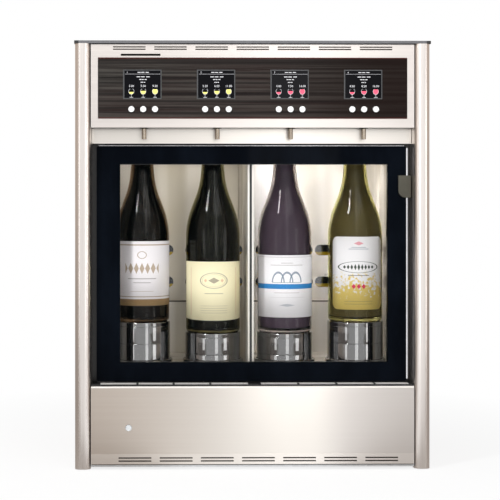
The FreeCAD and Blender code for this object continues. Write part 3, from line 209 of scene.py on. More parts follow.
def veneer():
    # dark stained wood with long horizontal grain under a satin lacquer
    r = Recipe("darkVeneer")
    bands = r.noise((3.5, 40, 230), 5.0, 0.6)
    pores = r.noise((22, 300, 1900), 4.0, 0.65)
    drift = r.noise((2.2, 2.2, 9), 2.0, 0.5)
    lines = r.noise((1.2, 12, 290), 2.0, 0.5, move=(0.4, 0, 0.1))
    base = r.blend(bands.ramp(0.34, 0.66), tone(0.013, 0.012, 0.011), tone(0.062, 0.058, 0.052))
    base = r.blend(drift.ramp(0.44, 0.66, 0.0, 0.4), base, tone(0.026, 0.010, 0.009))
    base = r.blend(pores.ramp(0.55, 0.72, 0.0, 0.5), base, tone(0.068, 0.063, 0.056))
    base = r.blend(lines.ramp(0.51, 0.57, 0.0, 0.65), base, tone(0.006, 0.005, 0.005))
    x, _, z = r.axes()
    base = r.blend(x.ramp(0.0, 0.20, 0.0, 0.85), base, tone(0.008, 0.003, 0.002))  # a darker, redder leaf on the right
    low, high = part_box("control_panel")
    middle, half = (low[2] + high[2]) / 2, (high[2] - low[2]) / 2
    edging = abs(z - middle).ramp(half - 0.0016, half - 0.0012)
    base = r.blend(edging * 0.7, base, tone(0.085, 0.016, 0.012))
    rough = bands * 0.14 + 0.38
    return r.done(Base_Color=base, Roughness=rough, Specular_IOR_Level=0.07,
                  Normal=r.bump(pores, 0.10, 0.0003))


def doorGlass(left, right, low, high, corner):
    # clear toughened glass with a blue-black print fired on all round the window
    r = Recipe("printedDoorGlass")
    x, _, z = r.axes()
    across = (abs(x - (left + right) / 2) - ((right - left) / 2 - corner)).larger(0)
    along = (abs(z - (low + high) / 2) - ((high - low) / 2 - corner)).larger(0)
    away = (across.squared() + along.squared()).power(0.5) - corner
    printed = away.ramp(-0.0001, 0.0001)
    smears = r.noise((1, 1, 0.4), 4.0, 0.6, 14)
    base = r.blend(smears.ramp(0.35, 0.7), tone(0.0012, 0.0020, 0.0038), tone(0.0030, 0.0048, 0.0085))
    base = r.blend(printed, tone(0.03, 0.04, 0.04), base)
    return r.done(Base_Color=base, Roughness=smears * 0.05 + 0.03, Alpha=printed * 0.975 + 0.025,
                  Specular_IOR_Level=0.02, Normal=r.bump(smears, 0.01, 0.001))


def bottleGlass(name, colour):
    r = Recipe(name)
    ripple = r.noise((1, 1, 0.25), 2.0, 0.5, 30)
    dust = r.noise((1, 1, 1), 3.0, 0.6, 700)
    base = r.blend(dust.ramp(0.6, 0.75, 0.0, 0.25), colour, shade(colour, 0.7))
    return r.done(Base_Color=base, Roughness=dust * 0.02 + 0.01, IOR=1.25, Transmission_Weight=1.0,
                  Normal=r.bump(ripple, 0.012, 0.002))


def wine(name, colour):
    r = Recipe(name)
    depth = r.noise((1, 1, 1), 2.0, 0.5, 20)
    base = r.blend(depth, colour, shade(colour, 1.5))
    return r.done(Base_Color=base, Roughness=depth * 0.05 + 0.5, Specular_IOR_Level=0.02)


def foam():
    r = Recipe("insulationFoam")
    cells = r.node("TexVoronoi", None, {"Vector": r.point(), "Scale": 900})
    slow = r.noise((1, 1, 1), 3.0, 0.6, 24)
    base = r.blend(slow.ramp(0.3, 0.7), tone(0.62, 0.52, 0.33), tone(0.80, 0.72, 0.52))
    return r.done(Base_Color=base, Roughness=slow * 0.1 + 0.82, Normal=r.bump(cells, 0.6, 0.0008))


def circuitBoard():
    r = Recipe("circuitBoard")
    x, _, z = r.axes()
    tracks = r.node("TexBrick", {"offset": 0.35, "squash": 0.6}, {
        "Vector": r.node("CombineXYZ", None, {0: x, 1: z, 2: 0}), "Color1": tone(0.012, 0.090, 0.035),
        "Color2": tone(0.018, 0.120, 0.048), "Mortar": tone(0.040, 0.200, 0.085), "Scale": 60, "Mortar Size": 0.05})
    dots = r.node("TexVoronoi", None, {"Vector": r.point(), "Scale": 300})
    pads = dots.ramp(0.22, 0.26, 1.0, 0.0)
    base = r.blend(pads, tracks, tone(0.70, 0.60, 0.35))
    return r.done(Base_Color=base, Roughness=0.42 - pads * 0.15, Metallic=pads * 0.8, Normal=r.bump(pads, 0.3, 0.0003))


def zincSheet(name, colour):
    # galvanised sheet with soft spangles
    r = Recipe(name)
    spangle = r.node("TexVoronoi", None, {"Vector": r.point(), "Scale": 130}, "Color")
    value = r.node("SeparateColor", None, {0: spangle})
    fine = r.noise((1, 1, 1), 3.0, 0.6, 500)
    base = r.blend(value, shade(colour, 0.95), shade(colour, 1.05))
    return r.done(Base_Color=base, Metallic=0.85, Roughness=value * 0.05 + fine * 0.06 + 0.38,
                  Normal=r.bump(fine, 0.05, 0.0003))


def castMetal(name, colour, roughness, metallic=1.0, paintedShadeAndCollarAbove=None):
    r = Recipe(name)
    turned = r.noise((1, 1, 1), 4.0, 0.6, 420)
    slow = r.noise((1, 1, 1), 2.0, 0.5, 35)
    base = r.blend(slow.ramp(0.35, 0.68), colour, shade(colour, 0.82))
    base = darkAboveLevel(r, base, paintedShadeAndCollarAbove, tone(0.01, 0.01, 0.01))
    return r.done(Base_Color=base, Metallic=metallic, Roughness=turned * 0.08 + (roughness - 0.04),
                  Normal=r.bump(turned, 0.05, 0.0003))


def clearTube():
    r = Recipe("clearTube")
    cloud = r.noise((1, 1, 1), 3.0, 0.6, 90)
    base = r.blend(cloud, tone(0.75, 0.78, 0.76), tone(0.88, 0.90, 0.88))
    return r.done(Base_Color=base, Roughness=cloud * 0.1 + 0.18, Transmission_Weight=0.6, IOR=1.45)


def topCover():
    # dark grey lacquer with a black moulded cap on each end
    capFrom = 0.2545
    r = Recipe("topCover")
    x, _, _ = r.axes()
    cap = abs(x).ramp(capFrom - 0.0002, capFrom + 0.0002)
    fine = r.noise((1, 1, 1), 3.0, 0.6, 1300)
    slow = r.noise((1, 1, 1), 3.0, 0.5, 7)
    base = r.blend(fine, tone(0.115, 0.115, 0.122), tone(0.165, 0.165, 0.175))
    base = r.blend(slow.ramp(0.4, 0.65, 0.0, 0.4), base, tone(0.10, 0.10, 0.106))
    base = r.blend(cap, base, tone(0.012, 0.012, 0.013))
    return r.done(Base_Color=base, Roughness=slow * 0.1 + 0.36, Metallic=(1 - cap) * 0.35,
                  Normal=r.bump(fine, 0.08, 0.0003))


def guideBlack():
    # gloss black bars with a painted amber glint along each lower lip
    r = Recipe("guideBlack")
    _, _, z = r.axes()
    smears = r.noise((1, 1, 0.3), 4.0, 0.6, 26)
    low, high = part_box("bottle_guides")
    # painted glint: amber bands along the bars' lower edges
    paintedAmberGlint = sum((abs(z - level).ramp(0.0020, 0.0028, 1.0, 0.0) for level in (low[2] + 0.003, high[2] - 0.0135)), 0)
    base = r.blend(paintedAmberGlint, tone(0.006, 0.006, 0.007), tone(0.55, 0.36, 0.006))
    return r.done(Base_Color=base, Roughness=smears * 0.05 + 0.06, Coat_Weight=0.6, Coat_Roughness=0.03,
                  Normal=r.bump(smears, 0.02, 0.001))


def lowerSteel():
    # horizontally brushed sheet with a painted reflection: its tone drifts from warm on the left through a bright band
    # to grey on the right
    r = Recipe("lowerSteel")
    x, _, z = r.axes()
    lines = r.noise((5, 1200, 1200), 4.0, 0.6)
    coarse = r.noise((2.5, 260, 260), 3.0, 0.55)
    clouds = r.noise((6, 6, 4), 2.0, 0.5)
    # painted reflection: warm and darker on the left, brightest just right of the middle, grey on the right
    base = r.blend(x.ramp(-0.24, 0.06), tone(0.54, 0.47, 0.41), tone(0.78, 0.74, 0.69))
    base = r.blend(x.ramp(0.08, 0.15), base, tone(0.66, 0.62, 0.59))
    streak = (lines * 0.5 + coarse * 0.5).ramp(0.35, 0.65, 0.0, 0.07)
    base = r.blend(streak, base, tone(0.86, 0.82, 0.78))
    base = r.blend(clouds.ramp(0.4, 0.65, 0.0, 0.10), base, tone(0.50, 0.45, 0.41))
    base = r.blend(z.ramp(0.0226, 0.0238, 0.35, 0.0), base, tone(0.88, 0.83, 0.78))  # painted highlight: the tilted folded foot is painted lighter
    return r.done(Base_Color=base, Metallic=1.0, Roughness=lines * 0.05 + clouds * 0.04 + 0.26,
                  Anisotropic=0.8, Anisotropic_Rotation=0.25, Normal=r.bump(lines, 0.10, 0.0002))


def linerSteel():
    # polished sheet with soft upright bands of painted reflection
    r = Recipe("linerSteel")
    fine = r.noise((420, 420, 3), 4.0, 0.6)
    bands = r.noise((21, 21, 0.8), 1.5, 0.4, move=(0.3, 0, 0))
    slow = r.noise((5, 5, 5), 2.0, 0.5)
    # painted reflection: the upright bands swing between dark and light steel
    base = r.blend(bands.ramp(0.40, 0.60), tone(0.60, 0.565, 0.49), tone(0.90, 0.875, 0.83))
    base = r.blend(fine.ramp(0.35, 0.65, 0.0, 0.10), base, tone(0.60, 0.56, 0.48))
    base = r.blend(slow.ramp(0.45, 0.62, 0.0, 0.25), base, tone(0.82, 0.73, 0.54))
    return r.done(Base_Color=base, Metallic=0.5, Roughness=fine * 0.06 + slow * 0.08 + 0.26,
                  Normal=r.bump(fine, 0.05, 0.0002))


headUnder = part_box("head_fascia")[0][2]
finish = {
    "column": brushedSteel("columnSteel", tone(0.755, 0.705, 0.67), (1500, 1500, 9), 0.30, 0.05),
    "panelSteel": brushedSteel("panelSteel", tone(0.655, 0.61, 0.58), (7, 1100, 1100), 0.40, 0.035),
    # the splash is painted dark above the head's underside: painted shade
    "splash": brushedSteel("splashSteel", tone(0.74, 0.70, 0.65), (7, 1100, 1100), 0.36, 0.03, headUnder - 0.0001),
    "lowerSteel": lowerSteel(),
    "liner": linerSteel(),
    "gridSteel": satinPaint("gridSteel", tone(0.94, 0.92, 0.88), 0.4, 0.05, 0.35),
    "chrome": castMetal("polishedSpout", tone(0.36, 0.31, 0.255), 0.2, paintedShadeAndCollarAbove=headUnder - 0.0014),
    "top": topCover(),
    "veneer": veneer(),
    "frameBlack": satinPaint("frameBlack", tone(0.010, 0.010, 0.011), 0.34),
    "plasticBlack": mouldedPlastic("plasticBlack", tone(0.018, 0.018, 0.019), 0.46),
    "trayBlack": mouldedPlastic("trayBlack", tone(0.009, 0.009, 0.010), 0.5, 0.08),
    "displayBlack": mouldedPlastic("displayBlack", tone(0.055, 0.057, 0.06), 0.4, 0.04, 900),
    "guide": guideBlack(),
    "buttonWhite": mouldedPlastic("buttonWhite", tone(0.86, 0.875, 0.875), 0.22, 0.03, 900, 0.5),
    "powerWhite": mouldedPlastic("powerWhite", tone(0.66, 0.69, 0.71), 0.3, 0.03, 900, 0.3),
    # painted shade: the near-black sheet behind the vent slots
    "vent": mouldedPlastic("paintedVentShade", tone(0.016, 0.010, 0.006), 0.8, 0.3, 900),
    "rubber": mouldedPlastic("blackRubber", tone(0.012, 0.012, 0.012), 0.78, 0.25),
    "silicone": mouldedPlastic("greySilicone", tone(0.42, 0.42, 0.40), 0.6, 0.1),
    "natural": mouldedPlastic("naturalPlastic", tone(0.74, 0.75, 0.72), 0.32, 0.05, 1200, 0.2),
    "board": circuitBoard(),
    "brass": castMetal("valveBrass", tone(0.70, 0.53, 0.25), 0.3),
    "aluminium": brushedSteel("extrudedAluminium", tone(0.72, 0.73, 0.74), (600, 600, 12), 0.36),
    "pull": castMetal("bronzePull", tone(0.085, 0.080, 0.062), 0.45, 0.6),
    "foam": foam(),
    "zinc": zincSheet("zincSheet", tone(0.56, 0.57, 0.58)),
    "cover": zincSheet("rearSheet", tone(0.60, 0.61, 0.62)),
    "screw": castMetal("screwSteel", tone(0.55, 0.56, 0.57), 0.3),
    "tube": clearTube(),
    "supply": zincSheet("supplyCase", tone(0.63, 0.64, 0.65)),
}
nodeFinish = {
    "column": ["side_panel_left", "side_panel_right"],
    "panelSteel": ["head_fascia"],
    "splash": ["head_chassis"],
    "lowerSteel": ["lower_panel"],
    "top": ["top_cover"],
    "veneer": ["control_panel"],
    "displayBlack": ["displays"],
    "board": ["control_board"],
    "plasticBlack": ["card_reader", "wine_valves", "fan_housing", "fan_rotor", "mains_inlet", "rear_switch"],
    "trayBlack": ["drip_tray"],
    "chrome": ["spouts"],
    "brass": ["gas_manifold"],
    "tube": ["wine_lines"],
    "natural": ["sealing_heads", "lift_sleeves"],
    "silicone": ["neck_seals"],
    "liner": ["compartment_liners"],
    "foam": ["insulation"],
    "frameBlack": ["cabinet_frame", "door_frame", "hinge_leaves"],
    "rubber": ["door_gasket", "feet"],
    "pull": ["door_pull"],
    "guide": ["bottle_guides"],
    "gridSteel": ["drip_grid_left", "drip_grid_right"],
    "aluminium": ["cooling_module"],
    "supply": ["power_supply"],
    "zinc": ["base_frame"],
    "cover": ["back_cover"],
    "screw": ["cover_screws"],
    "powerWhite": ["power_button"],
    "buttonWhite": [f"button_{i}_{portion}" for i in (1, 2, 3, 4) for portion in ("taste", "half", "glass")],
}


def dress(node, material):
    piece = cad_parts[node]
    for place in piece.material_slots:
        place.material = material
    if not piece.material_slots:
        piece.data.materials.append(material)


for key, names in nodeFinish.items():
    for node in names:
        dress(node, finish[key])
print("finishes on the carried-over nodes")

window = {"left": -0.1948, "right": 0.2020, "low": 0.1535, "high": 0.4476, "corner": 0.0015}
dress("door_glass", doorGlass(**window))


# new pieces

def keep(name, shape, material, body, smooth=True):
    # makes the finished bmesh a piece that rides on a body
    data = bpy.data.meshes.new(name)
    for face in shape.faces:
        face.smooth = smooth
    shape.to_mesh(data)
    shape.free()
    data.materials.append(material)
    piece = bpy.data.objects.new(name, data)
    bpy.context.collection.objects.link(piece)
    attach(piece, body)
    return piece


def turned(corners, centre, steps=96, closed=False):
    # spins a profile of (radius, height, rounding) corners about a bottle's upright axis
    longWall, loopGap = 0.003, 0.0003
    shape = bmesh.new()
    spots = [shape.verts.new((centre[0] + radius, centre[1], height)) for radius, height, _ in corners]
    pairs = list(zip(spots, spots[1:])) + ([(spots[-1], spots[0])] if closed else [])
    for pair in pairs:
        shape.edges.new(pair)
    for spot, (_, _, rounding) in zip(spots, corners):
        if rounding:
            bmesh.ops.bevel(shape, geom=[spot], offset=rounding, offset_type="OFFSET", affect="VERTICES",
                            segments=10 if rounding > 0.008 else 5, profile=0.5, material=-1)
    for edge in [edge for edge in shape.edges if edge.calc_length() > longWall]:
        # a loop close to each end keeps the long walls straight in the shading
        rest, _ = bmesh.utils.edge_split(edge, edge.verts[0], loopGap / edge.calc_length())
        longer = max((edge, rest), key=lambda part: part.calc_length())
        far = max(longer.verts, key=lambda spot: min(part.calc_length() for part in spot.link_edges))
        bmesh.utils.edge_split(longer, far, loopGap / longer.calc_length())
    bmesh.ops.spin(shape, geom=shape.verts[:] + shape.edges[:], cent=(centre[0], centre[1], 0),
                   axis=(0, 0, 1), angle=math.tau, steps=steps, use_merge=True)
    bmesh.ops.remove_doubles(shape, verts=shape.verts, dist=1e-6)
    bmesh.ops.recalc_face_normals(shape, faces=shape.faces)
    return shape


bottle = {
    "radius": 0.0411, "wall": 0.0028, "base": 0.006, "heel": 0.005, "neckLength": 0.074, "shoulder": 0.055,
    "neckRoot": 0.020, "neck": 0.014, "bore": 0.0093, "lip": 0.0148, "lipHeight": 0.008, "waistTurn": 0.0204,
    "neckTurn": 0.0153, "boreTurn": 0.0175, "dent": 0.0015, "stand": 0.026, "punt": 0.012,
    "wineLevel": 0.478, "gap": 0.0003, "tubeGap": 0.0028,
}
wines = {
    1: {"glass": tone(0.30, 0.20, 0.12), "wine": tone(0.003, 0.0015, 0.001)},
    2: {"glass": tone(0.36, 0.34, 0.18), "wine": tone(0.003, 0.003, 0.002)},
    3: {"glass": tone(0.47, 0.43, 0.44), "wine": tone(0.30, 0.25, 0.34)},
    4: {"glass": tone(0.60, 0.57, 0.22), "wine": tone(0.24, 0.21, 0.44)},
}
axis = {}
for i in wines:
    low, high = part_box(f"bottle_{i}")
    centre = ((low[0] + high[0]) / 2, (low[1] + high[1]) / 2)
    foot, top = low[2], high[2]
    axis[i] = centre
    neckFoot = top - bottle["neckLength"]
    waist = neckFoot - bottle["shoulder"]
    inside = bottle["radius"] - bottle["wall"]
    boreRoot = bottle["neckRoot"] - bottle["neck"] + bottle["bore"]
    lipFoot = top - bottle["lipHeight"]
    insideFoot = foot + bottle["base"]
    glassShape = turned([
        (0, foot + bottle["dent"], 0), (bottle["stand"], foot, 0.004), (bottle["radius"], foot, bottle["heel"]),
        (bottle["radius"], waist, bottle["waistTurn"]), (bottle["neckRoot"], neckFoot, bottle["neckTurn"]),
        (bottle["neck"], lipFoot, 0.0003), (bottle["lip"], lipFoot, 0.001), (bottle["lip"], top, 0.0018),
        (bottle["bore"], top, 0.0015), (boreRoot, neckFoot, bottle["boreTurn"]),
        (inside, waist, bottle["waistTurn"]), (inside, insideFoot, 0.004),
        (0.012, insideFoot + 0.001, 0.004), (0, insideFoot + bottle["punt"], 0),
    ], centre)
    glassPiece = keep(f"bottleGlass_{i}", glassShape, bottleGlass(f"bottleGlass{i}", wines[i]["glass"]),
                      f"bottle_station_{i}")
    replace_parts(glassPiece, f"bottle_{i}")
    gap, level = bottle["gap"], bottle["wineLevel"]
    boreAtLevel = boreRoot + (bottle["bore"] - boreRoot) * (level - neckFoot) / bottle["neckLength"]
    wineShape = turned([
        (bottle["tubeGap"], insideFoot + bottle["punt"], 0.001), (0.014, insideFoot + 0.002, 0.004),
        (inside - gap, insideFoot + gap, 0.004), (inside - gap, waist, bottle["waistTurn"]),
        (boreRoot - gap, neckFoot, bottle["boreTurn"]), (boreAtLevel - gap, level, 0.0006),
        (bottle["tubeGap"], level - 0.0008, 0.0004),
    ], centre, closed=True)
    keep(f"wineInBottle_{i}", wineShape, wine(f"wine{i}", wines[i]["wine"]), f"bottle_station_{i}")
print("bottles and their wine")


# lifts: gloss black pistons with a rim line and a seam, and a moulded collar round each on the floor
lift = {
    "edge": 0.0015, "wall": 0.003, "cap": 0.006, "rim": 0.0062, "seam": 0.032, "line": 0.0007, "depth": 0.0006,
    "collarIn": 0.0429, "collarOut": 0.0464, "collarHigh": 0.0135, "floor": 0.1401, "collarRound": 0.003,
}
liftBlack = liftLacquer()
for i in wines:
    low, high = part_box(f"lift_{i}")
    centre = ((low[0] + high[0]) / 2, (low[1] + high[1]) / 2)
    wide, top = (high[0] - low[0]) / 2, high[2]
    rim, seam, line, depth = top - lift["rim"], top - lift["seam"], lift["line"], lift["depth"]
    shape = turned([
        (0, top, 0), (wide, top, lift["edge"]), (wide, rim, 0.0002), (wide - depth, rim - line / 2, 0),
        (wide, rim - line, 0.0002), (wide, seam, 0.0002), (wide - depth, seam - line / 2, 0),
        (wide, seam - line, 0.0002), (wide, low[2], 0.001), (wide - lift["wall"], low[2], 0),
        (wide - lift["wall"], top - lift["cap"], 0.002), (0, top - lift["cap"], 0),
    ], centre, 128)
    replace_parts(keep(f"bottleLift_{i}", shape, liftBlack, f"bottle_station_{i}"), f"lift_{i}")
    collar = turned([
        (lift["collarIn"], lift["floor"], 0), (lift["collarOut"], lift["floor"], 0),
        (lift["collarOut"], lift["floor"] + lift["collarHigh"], lift["collarRound"]),
        (lift["collarIn"], lift["floor"] + lift["collarHigh"], 0.0006),
    ], centre, 128, closed=True)
    keep(f"liftCollar_{i}", collar, liftBlack, "case")
print("lifts")


# labels: paper bent round the bottle, each with a design of its own
paperColours = {
    "white": tone(0.86, 0.83, 0.85), "cream": tone(0.94, 0.87, 0.58), "gold": tone(0.36, 0.25, 0.13),
    "band": tone(0.33, 0.21, 0.09), "ink": tone(0.16, 0.13, 0.11), "blue": tone(0.010, 0.22, 0.56),
    "slate": tone(0.14, 0.20, 0.28), "terracotta": tone(0.70, 0.32, 0.18), "yellow": tone(0.72, 0.55, 0.14),
    "leaf": tone(0.03, 0.05, 0.035), "red": tone(0.70, 0.03, 0.09),
}


def near(value, centre, half, soft=0.00012):
    return abs(value - centre).ramp(half - soft, half + soft, 1.0, 0.0)


def rule(x, z, at, half, thick):
    return near(z, at, thick) * near(x, 0.0, half)


def lozenge(x, z, across, up, wide, tall):
    return (abs(x - across) / wide + abs(z - up) / tall).ramp(0.94, 1.06, 1.0, 0.0)


def ring(x, z, across, up, wide, tall, thick):
    place = (((x - across) / wide).squared() + ((z - up) / tall).squared()).power(0.5)
    return near(place, 1.0, thick / wide, 0.00012 / wide)


def labelPaper(name, centreX, low, high, design):
    r = Recipe(name)
    worldX, _, z = r.axes()
    x = worldX - centreX
    fibre = r.noise((1, 1, 1), 4.0, 0.65, 900)
    base = design(r, x, z, low, high)
    base = r.blend(fibre.ramp(0.45, 0.75, 0.0, 0.12), base, tone(0.55, 0.50, 0.44))
    return r.done(Base_Color=base, Roughness=fibre * 0.12 + 0.5, Normal=r.bump(fibre, 0.12, 0.0003))


def diamondRow(r, x, z, low, high):
    # white, gold rules, a row of lozenges under a ring, and a brown band at the foot
    c = paperColours
    base = r.blend(near(z, low + 0.0049, 0.0049), c["white"], c["band"])
    base = r.blend(near(z, low + 0.0135, 0.0005), base, c["gold"])
    base = r.blend(near(z, high - 0.0055, 0.0009) * 0.8, base, c["gold"])
    step = r.node("Math", {"operation": "PINGPONG"}, {0: abs(x), 1: 0.0042})
    row = (step / 0.0038 + abs(z - (low + 0.056)) / 0.0085).ramp(0.9, 1.05, 1.0, 0.0) * near(x, 0, 0.0250)
    base = r.blend(row * 0.8, base, c["gold"])
    base = r.blend(ring(x, z, 0, low + 0.076, 0.0065, 0.0052, 0.0005), base, c["gold"])
    base = r.blend(rule(x, z, low + 0.0405, 0.021, 0.0006) * 0.7, base, c["ink"])
    base = r.blend(rule(x, z, low + 0.0345, 0.013, 0.0005) * 0.7, base, c["ink"])
    return r.blend(rule(x, z, low + 0.0215, 0.017, 0.0004) * 0.5, base, c["gold"])


def ovalCream(r, x, z, low, high):
    # cream, two ovals round a lozenge, a spotted line down each side and fine rules below
    c = paperColours
    base = c["cream"]
    spots = r.node("Math", {"operation": "PINGPONG"}, {0: z, 1: 0.0012})
    side = near(abs(x), 0.0335, 0.0006) * spots.ramp(0.0004, 0.0007) * near(z, (low + high) / 2, 0.036)
    base = r.blend(side * 0.55, base, c["terracotta"])
    base = r.blend(ring(x, z, 0, low + 0.060, 0.0200, 0.0115, 0.0007) * 0.75, base, c["ink"])
    base = r.blend(ring(x, z, 0, low + 0.060, 0.0175, 0.0092, 0.0003) * 0.6, base, c["ink"])
    base = r.blend(lozenge(x, z, 0, low + 0.060, 0.0085, 0.0045) * 0.7, base, c["ink"])
    base = r.blend(lozenge(abs(x), z, 0.0125, low + 0.060, 0.0025, 0.0028) * 0.6, base, c["terracotta"])
    base = r.blend(rule(x, z, low + 0.0405, 0.014, 0.0005) * 0.6, base, c["ink"])
    for level in (0.022, 0.0185, 0.015, 0.0115):
        base = r.blend(rule(x, z, low + level, 0.020, 0.0003) * 0.4, base, c["ink"])
    return base


def blueStripe(r, x, z, low, high):
    # white with a blue stripe, three joined arches above it and short rules below
    c = paperColours
    base = r.blend(near(z, low + 0.0465, 0.0037), tone(0.91, 0.90, 0.92), c["blue"])
    above = (z - (low + 0.0525)).ramp(0.0, 0.0001)
    for across in (-0.013, 0.0, 0.013):
        base = r.blend(ring(x, z, across, low + 0.0525, 0.0085, 0.0150, 0.0009) * above * 0.85, base, c["slate"])
    base = r.blend(rule(x, z, low + 0.0525, 0.0215, 0.0005) * 0.7, base, c["slate"])
    base = r.blend(rule(x, z, high - 0.0150, 0.024, 0.0005) * 0.5, base, c["ink"])
    base = r.blend(rule(x, z, high - 0.0118, 0.009, 0.0005) * 0.5, base, c["ink"])
    base = r.blend(near(z, high - 0.0030, 0.0005) * 0.35, base, c["ink"])
    base = r.blend(rule(x, z, low + 0.0370, 0.019, 0.0004) * 0.5, base, c["ink"])
    base = r.blend(lozenge(x, z, 0, low + 0.0185, 0.0120, 0.0022) * 0.45, base, c["slate"])
    base = r.blend(rule(x, z, low + 0.0300, 0.026, 0.0003) * 0.25, base, c["ink"])
    return base


def goldenFoot(r, x, z, low, high):
    # white above a mottled yellow foot, a dark ring round a row of lozenges, red lozenges above and below it
    c = paperColours
    fleck = r.noise((1, 1, 1), 3.0, 0.6, 190)
    rise = (z - low).ramp(0.006, 0.062, 1.0, 0.0)
    mottle = (fleck + rise * 0.30).ramp(0.56, 0.68) * (z - low).ramp(0.050, 0.062, 1.0, 0.0)
    base = r.blend(mottle, tone(0.80, 0.79, 0.80), c["yellow"])
    base = r.blend(near(z, low + 0.008, 0.008) * 0.85, base, c["yellow"])
    up = low + 0.0640
    base = r.blend(ring(x, z, 0, up, 0.0290, 0.0085, 0.0009), base, c["leaf"])
    for across in range(-4, 5):
        base = r.blend(lozenge(x, z, across * 0.0052, up, 0.0021, 0.0052 - abs(across) * 0.0006), base, c["leaf"])
    base = r.blend(rule(x, z, up - 0.0125, 0.016, 0.0006) * 0.7, base, c["leaf"])
    for level, half in ((0.0185, 0.0150), (0.0160, 0.0110)):
        base = r.blend(rule(x, z, high - level, half, 0.0007) * 0.5, base, c["slate"])
    base = r.blend(lozenge(x, z, 0, high - 0.0100, 0.0075, 0.0030) * 0.6, base, c["red"])
    for across in (-0.0075, 0.0, 0.0075):
        base = r.blend(lozenge(x, z, across, low + 0.0350, 0.0032, 0.0040), base, c["red"])
    for level in (0.0125, 0.0085):
        base = r.blend(rule(x, z, low + level, 0.021, 0.0004) * 0.45, base, c["ink"])
    return base


# half is how far the paper reaches round the bottle each way, in degrees; sag raises its upper corners
labels = {
    1: {"half": 84, "low": 0.2356, "high": 0.3322, "corner": 0.0006, "sag": 0.0, "design": diamondRow},
    2: {"half": 80, "low": 0.2132, "high": 0.3015, "corner": 0.0010, "sag": 0.002, "design": ovalCream},
    3: {"half": 80, "low": 0.2177, "high": 0.3112, "corner": 0.0010, "sag": 0.0, "design": blueStripe},
    4: {"half": 62, "low": 0.2293, "high": 0.3389, "corner": 0.0105, "sag": 0.0, "design": goldenFoot},
}
paper = {"cuts": 44, "gap": 0.00008, "thick": 0.00018}
for i, size in labels.items():
    centre = axis[i]
    paperRadius = bottle["radius"] + paper["gap"]
    halfWide = math.radians(size["half"]) * paperRadius
    shape = bmesh.new()
    spots = [shape.verts.new(spot) for spot in ((-halfWide, 0, size["low"]), (halfWide, 0, size["low"]),
                                                (halfWide, 0, size["high"]), (-halfWide, 0, size["high"]))]
    shape.faces.new(spots)
    bmesh.ops.bevel(shape, geom=spots, offset=size["corner"], offset_type="OFFSET", affect="VERTICES", segments=8,
                    profile=0.5, material=-1)
    for cut in range(1, paper["cuts"]):
        across = halfWide * (2 * cut / paper["cuts"] - 1)
        bmesh.ops.bisect_plane(shape, geom=shape.verts[:] + shape.edges[:] + shape.faces[:], dist=1e-7,
                               plane_co=(across, 0, 0), plane_no=(1, 0, 0))
    for spot in shape.verts:
        raised = size["sag"] * (spot.co.x / halfWide) ** 2 * (size["high"] - spot.co.z) / (size["high"] - size["low"])
        angle = spot.co.x / paperRadius
        spot.co = Vector((centre[0] + paperRadius * math.sin(angle), centre[1] - paperRadius * math.cos(angle),
                          spot.co.z + raised))
    design = labelPaper(f"labelPaper{i}", centre[0], size["low"], size["high"], size["design"])
    label = keep(f"bottleLabel_{i}", shape, design, f"bottle_station_{i}")
    sheet = label.modifiers.new("thickness", "SOLIDIFY")
    sheet.thickness = paper["thick"]
    sheet.offset = 1.0
print("labels")


# the contents of the four displays: a header, short text bars, plain numbers and three glasses each
def glow(name, colour, strength, gloss=0.2):
    r = Recipe(name)
    cells = r.noise((1, 1, 1), 2.0, 0.5, 3000)
    base = r.blend(cells, shade(colour, 0.9), colour)
    return r.done(Base_Color=shade(colour, 0.5), Roughness=gloss, Specular_IOR_Level=0.08, Emission_Color=base,
                  Emission_Strength=strength)


screen = {
    "width": 0.0534, "height": 0.0401, "sink": 0.0006, "layer": 0.00004, "inset": 0.001,
    "headerLine": 0.0149, "lineHigh": 0.0004, "barHigh": 0.0010, "wordWide": 0.30, "words": (0.0, 0.36, 0.78),
    "lines": ((0.0174, 0.0150), (0.0109, 0.0175), (0.0070, 0.0100), (0.0029, 0.0062)),
    "stationAcross": -0.0225, "stationLevel": 0.0162, "stationHigh": 0.0026,
    "pitch": 0.0173, "offset": 0.0007, "numberLevel": -0.0040, "numberHigh": 0.0032,
    "bowlLevel": -0.0103, "bowlWide": 0.0041, "bowlHigh": 0.0046, "line": 0.00035, "rim": 0.74, "mouth": 0.80,
    "fillWide": 0.97, "stem": 0.0004, "stemTop": 0.97, "footLevel": -0.0190, "footWide": 0.0026,
    "footBelow": 0.0003, "footAbove": 0.0002,
}
fills = (-0.25, 0.12, 0.72)
amounts = {
    1: ("3.00", "5.50", "9.50"), 2: ("3.50", "6.00", "11.00"),
    3: ("4.00", "7.50", "14.00"), 4: ("4.50", "8.50", "16.00"),
}
screenTones = {
    "back": glow("screenBack", tone(0.004, 0.004, 0.006), 0.3, 0.12),
    "grey": glow("screenGrey", tone(0.50, 0.50, 0.52), 0.7),
    "white": glow("screenWhite", tone(0.76, 0.76, 0.79), 0.8),
    "yellow": glow("screenYellow", tone(0.86, 0.80, 0.22), 0.9),
    "pink": glow("screenPink", tone(0.95, 0.12, 0.20), 0.9),
}


def panel(shape, left, right, low, high, y):
    spots = [shape.verts.new(spot) for spot in ((left, y, low), (right, y, low), (right, y, high), (left, y, high))]
    shape.faces.new(spots)


def bowl(shape, x, z, wide, high, y, cutAt):
    # an upright oval with its top sliced off level
    made = bmesh.ops.create_circle(shape, cap_ends=True, segments=28, radius=1.0)["verts"]
    bmesh.ops.transform(shape, matrix=Matrix.Translation((x, y, z)) @ Matrix.Diagonal((wide, 1, high, 1))
                        @ Matrix.Rotation(math.radians(90), 4, "X"), verts=made)
    faces = {face for spot in made for face in spot.link_faces}
    parts = list(made) + list({edge for face in faces for edge in face.edges}) + list(faces)
    bmesh.ops.bisect_plane(shape, geom=parts, dist=1e-8, plane_co=(x, y, z + cutAt * high), plane_no=(0, 0, 1),
                           clear_outer=True)


